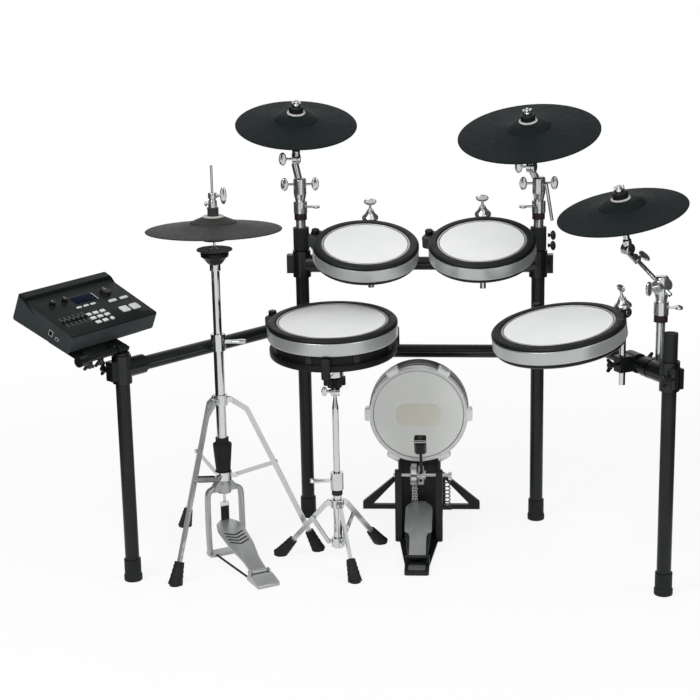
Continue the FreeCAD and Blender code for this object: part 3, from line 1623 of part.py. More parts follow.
def snare():
    azimuths = leg_azimuths(snare_first_leg_deg)
    head = snare_head_z - snare_tilter_height
    place = snare_place()
    shell = [snare_casing(), pad_band(snare_radius), pad_rim(snare_radius, snare_head_radius)]
    shell += knob_house(snare_radius, rim_height + band_height)
    for piece in shell:
        piece.translate(up * head)
    save("snare_shell", *[put(piece, place) for piece in shell])
    membrane = pad_head(snare_head_radius)
    membrane.translate(up * head)
    save("snare_head", put(membrane, place))
    base_wall = snare_base_radius - snare_upper_radius - running_gap
    base = tube(snare_axis + up * snare_base_bottom, snare_axis + up * snare_base_top, snare_base_radius,
                base_wall)
    strut_pivot = (snare_strut_pivot_radius, snare_strut_pivot_height)
    low_collar = strut_collar(snare_axis, snare_strut_pivot_height - snare_low_collar_length / 2,
                              snare_low_collar_length, snare_low_collar_radius, snare_base_radius,
                              strut_pivot, azimuths)
    clamp = height_clamp(snare_axis, snare_base_top, snare_clamp_height, snare_clamp_radius,
                         snare_base_radius,
                         snare_upper_radius, 180)
    save("snare_base_tube", base, low_collar, *clamp)
    pivot = snare_axis + up * snare_tilter_height
    upper = fused(
        rod(snare_axis + up * snare_upper_bottom, pivot, snare_upper_radius),
        rod(pivot - right * running_gap, pivot - right * snare_tilter_radius, snare_tilter_radius))
    upper = upper.cut(rod(pivot - right * running_gap, pivot + right * snare_tilter_radius * 2,
                          snare_tilter_radius + running_gap))
    bolt = thumb_bolt(pivot - right * snare_tilter_radius, -right, up)
    save("snare_upper_tube", upper, bolt)
    save("snare_basket", *snare_basket())
    save("snare_collar",
         slider_collar(snare_axis, snare_collar_height, snare_collar_length, snare_low_collar_radius,
                                       snare_base_radius, snare_leg_pivot_radius, azimuths))
    save_legs("snare", snare_axis, snare_first_leg_deg, (snare_leg_pivot_radius, snare_collar_height),
              (snare_leg_knee_radius, snare_leg_knee_height), snare_foot_radius, strut_pivot,
              (snare_joint_radius, snare_joint_height))


# Kick tower, pad and pedal

def kick_place():
    return axes(origin, polar(kick_yaw_deg), up)


def facing(depth):
    # Point on the kick pad's axis, depth behind the front of its hoop
    return Vector(0, kick_head_y + depth, kick_head_z)


def kick_shell():
    # Housing behind the head, closed at the back, with a recess on top
    front = kick_hoop_lip + head_thickness + 2 * fit
    inner = kick_shell_radius - kick_shell_wall
    shell = turned([
        (inner, front), (kick_shell_radius, front), (kick_shell_radius, kick_shell_depth, kick_shell_wall),
        (0, kick_shell_depth), (0, kick_shell_depth - kick_shell_wall),
        (inner, kick_shell_depth - kick_shell_wall)],
        facing(0), back)
    notch = panel_block(kick_vent_width, kick_shell_depth, kick_shell_radius, 0,
                        kick_head_y + kick_hoop_depth + kick_shell_depth / 2 + fit,
                        kick_head_z + kick_shell_radius - kick_vent_depth)
    pocket = panel_block(kick_vent_width + 2 * kick_shell_wall, kick_shell_depth - kick_hoop_depth,
                         kick_vent_depth, 0,
                         kick_head_y + (kick_hoop_depth + kick_shell_depth) / 2,
                         kick_head_z + kick_shell_radius - kick_vent_depth - kick_shell_wall)
    pocket = pocket.common(rod(facing(0), facing(kick_shell_depth),
                               kick_shell_radius - kick_shell_wall / 2))
    return fused(shell, pocket).cut(notch)


def kick_tower():
    # Base plate, column cut out for the pad, gussets and the two floor wings
    base_front = pedal_y + pedal_bar_depth / 2 + fit
    plate_depth = base_back - base_front
    base = panel_block(base_width, plate_depth, base_thickness, 0, (base_back + base_front) / 2, 0,
                       base_round)
    column = panel_block(tower_width, tower_depth, tower_top, 0, tower_front + tower_depth / 2, 0,
                         tower_round)
    brace = panel_block(tower_width, wing_plate, wing_top, 0, wing_y, 0)
    column_back = tower_front + tower_depth
    pieces = [base, column, brace]
    for sign in (-1, 1):
        gusset = plate([
            (column_back - overrun, 0), (wing_y, 0), (wing_y, wing_top),
            (column_back - overrun, tower_top / 2)],
            tower_wall)
        x = sign * (tower_width - tower_wall) / 2 - tower_wall / 2
        pieces.append(put(gusset, axes(right * x, back, right)))
        inner = tower_width / 2 - overrun
        wing = plate([
            (inner, 0), (wing_reach, 0), (wing_reach, wing_tip_height, base_round / 2),
            (inner, wing_top)], wing_plate)
        window = plate([
            (inner + wing_rib, wing_rib), (wing_reach - wing_rib * 2, wing_rib),
            (inner + wing_rib, wing_top - wing_rib * 2)], wing_plate + 2 * overrun)
        window.translate(-up * overrun)
        wing = wing.cut(window)
        wing.rotate(origin, right, 90)
        wing.translate(back * (wing_y + wing_plate / 2))
        if sign < 0:
            wing = wing.mirror(origin, right)
        pieces.append(wing)
    body = fused(*pieces)
    return body.cut(rod(facing(-overrun), facing(kick_shell_depth + fit), kick_hoop_radius + fit))


def kick_hoop():
    inner = kick_shell_radius + fit
    hoop = turned([
        (kick_head_radius, 0), (kick_hoop_radius, 0), (kick_hoop_radius, kick_hoop_depth),
        (inner, kick_hoop_depth), (inner, kick_hoop_lip), (kick_head_radius, kick_hoop_lip)], facing(0),
        back)
    lugs = []
    sink = kick_hoop_lip / 2
    for index in range(kick_lug_count):
        lug = panel_block(kick_lug_width, kick_lug_length, kick_lug_rise + sink, 0, kick_lug_length / 2,
                          kick_hoop_radius - sink, kick_lug_corner)
        lug.rotate(origin, back, kick_lug_first_deg + index * 360 / kick_lug_count)
        lug.translate(facing(0))
        lugs.append(lug)
    return fused(hoop, *lugs)


def kick_membrane():
    back_face = kick_hoop_lip + fit + head_thickness
    return turned([
        (0, kick_hoop_lip + fit), (kick_shell_radius, kick_hoop_lip + fit), (kick_shell_radius, back_face),
        (0, back_face)], facing(0), back)


def pedal_frame():
    # Floor bar, two uprights bored for the axle, a tapered floor plate and the heel plate
    bar_width = 2 * pedal_half + pedal_upright
    bar = panel_block(bar_width, pedal_bar_depth, pedal_bar_thickness, 0, pedal_y, 0, board_round)
    heel_back = pedal_heel_y - hinge_radius * 2
    floor_plate = plate([
        (-pedal_half, pedal_y), (-pedal_heel_width / 2, heel_back), (pedal_heel_width / 2, heel_back),
        (pedal_half, pedal_y)], pedal_plate_thickness)
    pieces = [bar, floor_plate]
    for sign in (-1, 1):
        upright = plate([
            (-pedal_upright_depth, 0), (pedal_upright_depth, 0),
            (pedal_upright_depth / 2, pedal_upright_top, board_round),
            (-pedal_upright_depth / 2, pedal_upright_top, board_round)], pedal_upright)
        x = sign * pedal_half - pedal_upright / 2
        pieces.append(put(upright, axes(Vector(x, pedal_y, 0), back, right)))
        outer = pedal_neck_width / 2 + running_gap
        knuckle = Vector(0, pedal_heel_y, pedal_heel_z)
        pieces.append(rod(knuckle + right * sign * outer, knuckle + right * sign * pedal_heel_width / 2,
                          hinge_radius))
        pieces.append(panel_block(pedal_heel_width / 2 - outer, hinge_radius * 4, pedal_heel_z,
                                  sign * (outer + pedal_heel_width / 2) / 2,
                                  pedal_heel_y - hinge_radius * 2, 0))
    heel_length = pedal_heel_y - hinge_radius - running_gap - pedal_heel_end
    pieces.append(panel_block(pedal_heel_width, heel_length, heel_thickness, 0,
                              pedal_heel_end + heel_length / 2, 0,
                              board_round))
    hinge = Vector(0, pedal_heel_y, pedal_heel_z)
    pieces.append(rod(hinge - right * pedal_heel_width / 2, hinge + right * pedal_heel_width / 2,
                      hinge_pin_radius))
    anchor_z = spring_bottom - spring_wire - spring_pin_radius - 2 * fit
    anchor = Vector(pedal_half, pedal_y - spring_arm_radius, anchor_z)
    pieces.append(rod(anchor, anchor + right * (spring_x - pedal_half + spring_arm_width),
                      spring_pin_radius))
    axle = Vector(0, pedal_y, pedal_axle_z)
    return fused(*pieces).cut(rod(axle - right * bar_width, axle + right * bar_width,
                                  pedal_axle_radius + shaft_gap))


def pedal_axle():
    # Axle with the chain's cam, the beater's hub and the spring's arm
    axle = Vector(0, pedal_y, pedal_axle_z)
    left_end = pedal_half + pedal_upright / 2 + cap_thickness
    shaft = rod(axle - right * left_end, axle + right * (spring_x + spring_arm_width), pedal_axle_radius)
    cam = turned([
        (0, -cam_width / 2), (cam_radius - chain_roller - running_gap, -cam_width / 2),
        (cam_radius - chain_roller - running_gap, cam_width / 2), (0, cam_width / 2)],
        axle + right * cam_x, right)
    hub = rod(axle + right * beater_x - right * beater_hub_width / 2,
              axle + right * beater_x + right * beater_hub_width / 2,
              beater_hub_radius)
    arm = link_bar(axle + right * (spring_x + spring_arm_width / 2),
                   axle + right * (spring_x + spring_arm_width / 2) - back * spring_arm_radius, right,
                   spring_arm_width * 2, spring_arm_width)
    return fused(shaft, cam, hub, arm)


def beater():
    # Rod and block, leaning back from the head at rest
    axle = Vector(beater_x, pedal_y, pedal_axle_z)
    lean_angle = math.radians(beater_lean_deg)
    along = Vector(0, -math.sin(lean_angle), math.cos(lean_angle))
    stick = rod(axle + along * (beater_hub_radius + fit), axle + along * beater_length, beater_rod_radius)
    block = slab(beater_width, beater_depth, beater_height, beater_round)
    block.translate(-up * beater_height / 2)
    block = put(block, axes(axle + along * beater_length, right, along))
    return stick.cut(block), block


def pedal_chain():
    # Roller chain from the cam down to the footboard's toe
    x = cam_x
    y = pedal_y + cam_radius
    foot_z = pedal_toe_z + board_thickness / 2 + chain_roller
    chain_link = (pedal_axle_z - foot_z) / chain_count
    pieces = []
    for index in range(chain_count + 1):
        z = pedal_axle_z - index * chain_link
        pieces.append(rod(Vector(x - chain_width / 2, y, z), Vector(x + chain_width / 2, y, z),
                          chain_roller))
    for index in range(chain_count):
        z = pedal_axle_z - index * chain_link
        inset = chain_plate if index % 2 else 0
        for sign in (-1, 1):
            place = x + sign * (chain_width / 2 - inset - chain_plate / 2)
            pieces.append(link_bar(Vector(place, y, z), Vector(place, y, z - chain_link), right,
                                   chain_roller * 2, chain_plate))
    return fused(*pieces)


def arc_from(start, tangent, end):
    # Circular arc from start along tangent to end
    chord = end - start
    across = chord - tangent * chord.dot(tangent)
    radius = chord.Length * chord.Length / (2 * across.Length)
    centre = start + unit(across) * radius
    middle = centre + unit((start - centre) + (end - centre)) * radius
    return Part.Arc(start, middle, end).toShape()


def coil(base, radius, pitch, turns, wire):
    # Helix of half turns, each a pair of arcs that meet on one tangent, swept with the wire's section
    def state(angle):
        place = base + Vector(radius * math.cos(angle), radius * math.sin(angle),
                              pitch * angle / (2 * math.pi))
        slope = Vector(-radius * math.sin(angle), radius * math.cos(angle), pitch / (2 * math.pi))
        return place, unit(slope)
    edges = []
    points = []
    for index in range(2 * turns):
        start, leave = state(index * math.pi)
        end, arrive = state((index + 1) * math.pi)
        gap = end - start
        a = 2 * (leave.dot(arrive) - 1)
        b = -2 * gap.dot(leave + arrive)
        reach = (-b - math.sqrt(b * b - 4 * a * gap.dot(gap))) / (2 * a)
        meet = ((start + leave * reach) + (end - arrive * reach)) / 2
        edges.append(arc_from(start, leave, meet))
        edges.append(arc_from(end, -arrive, meet))
        points += [start, meet]
    path = Part.Wire(Part.__sortEdges__(edges))
    start, leave = state(0)
    section = Part.Wire(Part.makeCircle(wire, start, leave))
    gaps = [(points[i] - points[j]).Length for i in range(len(points)) for j in range(i + 3, len(points))]
    print("coil least gap", round(min(gaps) - 2 * wire, 2))
    return path.makePipeShell([section], True, False)


def pedal_spring():
    top = pedal_axle_z - spring_arm_width - spring_wire - 2 * fit
    x = spring_x + spring_arm_width / 2 - spring_radius
    base = Vector(x, pedal_y - spring_arm_radius, spring_bottom)
    pitch = (top - spring_bottom) / spring_turn_count
    return coil(base, spring_radius, pitch, spring_turn_count, spring_wire)


def kick():
    place = kick_place()
    save("kick_tower", put(kick_tower(), place), put(kick_shell(), place))
    save("kick_hoop", put(kick_hoop(), place))
    save("kick_head", put(kick_membrane(), place))
    save("pedal_frame", put(pedal_frame(), place))
    save("pedal_axle", put(pedal_axle(), place))
    save("beater", *[put(piece, place) for piece in beater()])
    hinge = Vector(0, pedal_heel_y, pedal_heel_z)
    toe = Vector(0, pedal_toe_y, pedal_toe_z)
    board = footboard(hinge, toe, pedal_neck_width, pedal_board_width, pedal_toe_width, hinge_radius)
    save("pedal_footboard", put(board, place))
    save("pedal_chain", put(pedal_chain(), place))
    save("pedal_spring", put(pedal_spring(), place))


def main():
    os.makedirs("parts", exist_ok=True)
    clamps, bolts = [], []
    for section in (rack, toms, cymbals):
        section_clamps, section_bolts = section()
        clamps += section_clamps
        bolts += section_bolts
    save("rack_clamps", *clamps)
    save("rack_wing_bolts", *bolts)
    module()
    hihat()
    snare()
    kick()


if __name__ == "__main__":
    main()
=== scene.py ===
import json
import math
import bpy
import bmesh
import numpy as np
from mathutils import Matrix


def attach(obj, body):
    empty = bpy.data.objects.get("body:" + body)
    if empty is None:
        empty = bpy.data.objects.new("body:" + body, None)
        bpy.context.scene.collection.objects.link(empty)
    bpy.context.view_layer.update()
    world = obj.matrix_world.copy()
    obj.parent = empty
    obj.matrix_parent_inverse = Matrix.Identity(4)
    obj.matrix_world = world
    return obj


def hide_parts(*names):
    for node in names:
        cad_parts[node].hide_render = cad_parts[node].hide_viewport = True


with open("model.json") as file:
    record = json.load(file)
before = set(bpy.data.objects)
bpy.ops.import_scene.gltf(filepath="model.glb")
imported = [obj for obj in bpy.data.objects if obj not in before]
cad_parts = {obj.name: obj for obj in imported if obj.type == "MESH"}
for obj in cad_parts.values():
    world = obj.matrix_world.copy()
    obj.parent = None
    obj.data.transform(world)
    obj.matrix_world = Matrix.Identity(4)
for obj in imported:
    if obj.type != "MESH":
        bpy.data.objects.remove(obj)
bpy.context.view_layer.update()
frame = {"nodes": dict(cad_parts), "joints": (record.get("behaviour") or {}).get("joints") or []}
nodes = frame["nodes"]
up = np.array((0.0, 0.0, 1.0))
milli = 0.001


def readAll(items, key, width, kind=np.float32):
    values = np.empty(len(items) * width, kind)
    items.foreach_get(key, values)
    return values.reshape(-1, width)


def meshPoints(mesh):
    return np.round(readAll(mesh.vertices, "co", 3).astype(float), 6)


def nodePoints(name):
    return np.unique(meshPoints(nodes[name].data), axis=0)


# corners of a triangle take the lowest number among them until none changes; each number left is a solid
def solidsOf(name):
    mesh = nodes[name].data
    mesh.calc_loop_triangles()
    spots, number = np.unique(meshPoints(mesh), axis=0, return_inverse=True)
    corners = number.reshape(-1)[readAll(mesh.loop_triangles, "vertices", 3, np.int32)]
    label, fresh = np.full(len(spots), -1), np.arange(len(spots))
    while (fresh != label).any():
        label = fresh.copy()
        for column in corners.T:
            np.minimum.at(fresh, column, label[corners].min(1))
        fresh = fresh[fresh]
    return [spots[corners[label[corners[:, 0]] == k]] for k in np.unique(label[corners])]


def unit(v):
    v = np.asarray(v, float)
    return v / np.linalg.norm(v)


def jointAt(name):
    joint = next(j for j in frame["joints"] if j["name"] == name)
    return np.array(joint["pos_m"]), unit(joint["axis"])


# axes at a place: from the side and the axis, or from the side and the back
def axesOn(middle, side, axis):
    return {"middle": np.asarray(middle, float), "side": side, "back": np.cross(axis, side), "axis": axis}


def axesIn(middle, side, back):
    return {"middle": middle, "side": side, "back": back, "axis": np.cross(side, back)}


def upright(at):
    return axesOn((at[0], at[1], 0.0), np.array((1.0, 0.0, 0.0)), up)


# outermost ring gives a disc's middle and plane, and its least spread is the axis
def discFrame(points, facing=up, deepest=(0.0, 1.0, 0.0)):
    middle = points.mean(0)
    for share in (0.9, 0.985, 0.985):
        away = np.linalg.norm(points - middle, axis=1)
        ring = points[away > share * away.max()]
        axis = np.linalg.svd(ring - ring.mean(0))[2][2]
        middle = ring.mean(0)
    axis = axis * np.sign(axis @ np.array(facing))
    disc = axesOn(middle, unit(np.cross(deepest, axis)), axis)
    return {**disc, "radius": np.linalg.norm(ring - middle, axis=1).max() / milli}


def moved(disc, across=0.0, deep=0.0, high=0.0):
    shift = across * disc["side"] + deep * disc["back"] + high * disc["axis"]
    return {**disc, "middle": disc["middle"] + milli * shift}


def turnedBy(disc, degrees):
    c, n = math.cos(math.radians(degrees)), math.sin(math.radians(degrees))
    side, back = disc["side"], disc["back"]
    return {**disc, "side": c * side + n * back, "back": c * back - n * side}


# the same place with its axis along the side, or towards the front
def alongSide(disc, sign=1):
    return {**disc, "side": disc["back"], "back": disc["axis"], "axis": sign * disc["side"]}


def facingFront(disc):
    return {**disc, "back": disc["axis"], "axis": -disc["back"]}


def fromDisc(disc, across, deep, high):
    across, deep, high = (np.asarray(v, float)[..., None] * milli for v in (across, deep, high))
    return disc["middle"] + across * disc["side"] + deep * disc["back"] + high * disc["axis"]


# surfaces: each shape is a skin, a grid of points with whether its rows and its columns close
def around(steps):
    return np.linspace(0, 2 * np.pi, steps, endpoint=False)


# superellipse: cosine and sine of a turn to the power 2/n, with their signs
def superTurn(turn, power):
    return [np.sign(v) * np.abs(v) ** (2 / power) for v in (np.cos(turn), np.sin(turn))]


# corner list (radius, height, trim): each corner with a trim becomes a quadratic arc between its two sides
def rounded(corners, closed=False, steps=5):
    spots = np.array([corner[:2] for corner in corners], float)
    most = 0.48  # share of a side that a trim may take
    s = np.linspace(0, 1, steps + 1)[:, None]
    rows = []
    for k, corner in enumerate(corners):
        before, here, after = spots[k - 1], spots[k], spots[(k + 1) % len(spots)]
        if corner[2] <= 0 or (not closed and k in (0, len(spots) - 1)):
            rows.append(here[None])
            continue
        first, last = (here + unit(other - here) * min(corner[2], most * np.linalg.norm(other - here))
                       for other in (before, after))
        rows.append((1 - s) ** 2 * first + 2 * s * (1 - s) * here + s ** 2 * last)
    return np.vstack(rows)


# corner list whose radii count from a given one
def fromRadius(radius, corners):
    return [(radius + out, high, trim) for out, high, trim in corners]


# rounded profile turned about a disc's axis; ripple says what is added to the radius at each turn
def lathe(disc, corners, steps, closed=False, bend=5, ripple=None):
    turn = around(steps)
    profile = rounded(corners, closed, bend)
    out, high = profile[:, :1], profile[:, 1:]
    if ripple:
        out = out + ripple(out, high, turn)
    return fromDisc(disc, out * np.cos(turn), out * np.sin(turn), high + 0 * turn), closed, True


# outline carried from low to high along a disc's axis, drawn in by edge at both ends and closed to its middle
def plate(disc, outlinePoints, low, high, edge):
    middle = outlinePoints.mean(0)
    away = outlinePoints - middle
    reach = np.linalg.norm(away, axis=1, keepdims=True)
    bend = np.linspace(0, np.pi / 2, 4)
    rise, draw = edge * (1 - np.sin(bend)), edge * (1 - np.cos(bend))
    levels = np.concatenate([[low], low + rise[::-1], high - rise, [high]])[:, None]
    kept = 1 - np.concatenate([draw[::-1], draw])[:, None, None] / reach
    spots = middle + away * np.concatenate([0 * kept[:1], kept, 0 * kept[:1]])
    return fromDisc(disc, spots[..., 0], spots[..., 1], levels + 0 * reach[:, 0]), False, True


# block with a superellipse outline, |x/a|^n + |y/b|^n = 1, and rounded edges
def block(disc, centre, half, low, high, edge, power=5.0, steps=48):
    outlinePoints = np.stack(superTurn(around(steps) + np.pi / steps, power), -1) * half + centre
    return plate(disc, outlinePoints, low, high, edge)


# smooth line through points: on each stretch a cubic whose slope at a point is half the step past it
def smoothPath(points, steps=10):
    spots = np.asarray(points, float)
    spots = np.vstack([2 * spots[0] - spots[1], spots, 2 * spots[-1] - spots[-2]])
    a, b, c, d = spots[:-3], spots[1:-2], spots[2:-1], spots[3:]
    s = np.linspace(0, 1, steps, endpoint=False)[:, None, None]
    line = b + 0.5 * s * (c - a + s * (2 * a - 5 * b + 4 * c - d + s * (3 * b - a - 3 * c + d)))
    return np.vstack([line.transpose(1, 0, 2).reshape(-1, 3), c[-1:]])


# straight line from one end to the other, at the given shares of its length
def between(first, last, shares):
    return first + np.asarray(shares)[:, None] * (last - first)


# superellipse section carried along a path, its width turned towards wideWay, closed flat at both ends
def sweep(path, wideWay, halfWide, halfDeep, power=2.0, steps=28):
    wideWay = np.asarray(wideWay, float)
    along = np.gradient(path, axis=0)
    along = along / np.linalg.norm(along, axis=1, keepdims=True)
    wide = wideWay - (along @ wideWay)[:, None] * along
    wide = wide / np.linalg.norm(wide, axis=1, keepdims=True)
    deep = np.cross(along, wide)
    halfWide, halfDeep = (np.broadcast_to(v, len(path))[:, None] * milli for v in (halfWide, halfDeep))
    c, n = superTurn(around(steps), power)
    ring = (path[:, None] + (halfWide * c)[..., None] * wide[:, None]
            + (halfDeep * n)[..., None] * deep[:, None])
    ends = [path[k, None] + 0 * ring[:1] for k in (0, -1)]
    return np.concatenate([ends[0], ring, ends[1]]), False, True


# flattened ball: radius |cos v|^(2/n) times the two half widths, height |sin v|^(2/n) times the half depth
def lens(disc, half, power=2.4, steps=36):
    out, high = superTurn(np.linspace(-np.pi / 2, np.pi / 2, 17)[:, None], power)
    turn = around(steps)
    across, deep = half[0] * out * np.cos(turn), half[1] * out * np.sin(turn)
    return fromDisc(disc, across, deep, half[2] * high + 0 * turn), False, True


thumbShape = {
    "foot": [(0, -1, 0), (5.4, -1, 0.5), (5.4, 3.2, 1), (3.4, 4.4, 0.5)], "neck": 3.4, "into": 6,
    "lift": 0.45, "bulge": 3.8}


# oval thumb plate on a stem: the stem turned about axis, the plate's long way along across
def thumbBolt(base, axis, across, long=34.0, wide=20.0, stem=14.0, s=thumbShape):
    post = axesOn(base, unit(across), unit(axis))
    flat = axesIn(moved(post, high=stem + wide * s["lift"])["middle"], post["side"], post["axis"])
    top = stem + s["into"]
    shank = lathe(post, s["foot"] + [(s["neck"], top, 0), (0, top, 0)], 24)
    return [shank, lens(flat, (long / 2, wide / 2, s["bulge"]))]


def faces(rows, cols, closeRows=False, closeCols=False):
    index = np.arange(rows * cols).reshape(rows, cols)
    index = np.vstack([index, index[:1]]) if closeRows else index
    index = np.hstack([index, index[:, :1]]) if closeCols else index
    return np.stack([index[:-1, :-1], index[:-1, 1:], index[1:, 1:], index[1:, :-1]], -1).reshape(-1, 4)


def addObject(name, data):
    thing = bpy.data.objects.new(name, data)
    bpy.context.scene.collection.objects.link(thing)
    return thing


# skins joined into one mesh; equal points are merged, so seams and poles close
def surface(name, skins, finish, body, replaced=None, smoothDeg=32):
    points, quads, start = [], [], 0
    for grid, closeRows, closeCols in skins:
        rows, cols = grid.shape[:2]
        points.append(grid.reshape(-1, 3))
        quads.append(faces(rows, cols, closeRows, closeCols) + start)
        start += rows * cols
    mesh = bpy.data.meshes.new(name)
    mesh.from_pydata(np.vstack(points).tolist(), [], np.vstack(quads).tolist())
    work = bmesh.new()
    work.from_mesh(mesh)
    bmesh.ops.remove_doubles(work, verts=work.verts, dist=0.00001)
    bmesh.ops.recalc_face_normals(work, faces=work.faces)
    work.to_mesh(mesh)
    work.free()
    mesh.shade_smooth()
    mesh.set_sharp_from_angle(angle=math.radians(smoothDeg))
    mesh.materials.append(finishes[finish])
    piece = addObject(name, mesh)
    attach(piece, body)
    if replaced:
        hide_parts(replaced)
    return piece


# a further finish on the faces whose middles pass a test
def shade(mesh, finish, test):
    which = readAll(mesh.polygons, "material_index", 1, np.int32)[:, 0].copy()
    mesh.materials.append(finishes[finish])
    which[test(readAll(mesh.polygons, "center", 3).astype(float))] = len(mesh.materials) - 1
    mesh.polygons.foreach_set("material_index", which)


# finishes
noiseSpan = (0.3, 0.7)  # where most of a noise's values lie


def addNode(tree, kind, inputs=None, **settings):
    node = tree.nodes.new(kind)
    for key, value in settings.items():
        setattr(node, key, value)
    for key, value in (inputs or {}).items():
        if isinstance(value, bpy.types.NodeSocket):
            tree.links.new(value, node.inputs[key])
        else:
            node.inputs[key].default_value = value
    return node


def newFinish(name, **sockets):
    finish = bpy.data.materials.new(name)
    finish.use_nodes = True
    shader = finish.node_tree.nodes["Principled BSDF"]
    for socket, value in sockets.items():
        shader.inputs[socket.replace("_", " ")].default_value = value
    return finish, finish.node_tree, shader


def objectCoords(tree):
    return addNode(tree, "ShaderNodeTexCoord").outputs["Object"]


def noise(tree, coords, scale, detail):
    inputs = {"Vector": coords, "Scale": scale, "Detail": detail}
    return addNode(tree, "ShaderNodeTexNoise", inputs).outputs["Fac"]


def tone(tree, factor, dark, light):
    node = addNode(tree, "ShaderNodeValToRGB", {"Fac": factor})
    for element, place, colour in zip(node.color_ramp.elements, noiseSpan, (dark, light)):
        element.position, element.color = place, (*colour, 1.0)
    return node.outputs["Color"]


# base colour between two tones by slow noise, roughness by a finer one, height by the finest
def grained(name, dark, light, rough, metal=0.0, gloss=0.5, patch=14.0, smudge=60.0, grain=1400.0, height=20):
    finish, tree, shader = newFinish(name, Metallic=metal, Specular_IOR_Level=gloss)
    coords = objectCoords(tree)
    tree.links.new(tone(tree, noise(tree, coords, patch, 4.0), dark, light), shader.inputs["Base Color"])
    wear = addNode(tree, "ShaderNodeMapRange", {
        "Value": noise(tree, coords, smudge, 4.0), "From Min": noiseSpan[0], "From Max": noiseSpan[1],
        "To Min": rough[0], "To Max": rough[1]})
    tree.links.new(wear.outputs["Result"], shader.inputs["Roughness"])
    rise = addNode(tree, "ShaderNodeBump", {
        "Height": noise(tree, coords, grain, 2.0), "Strength": 0.6, "Distance": height * 1e-6})
    tree.links.new(rise.outputs["Normal"], shader.inputs["Normal"])
    return finish


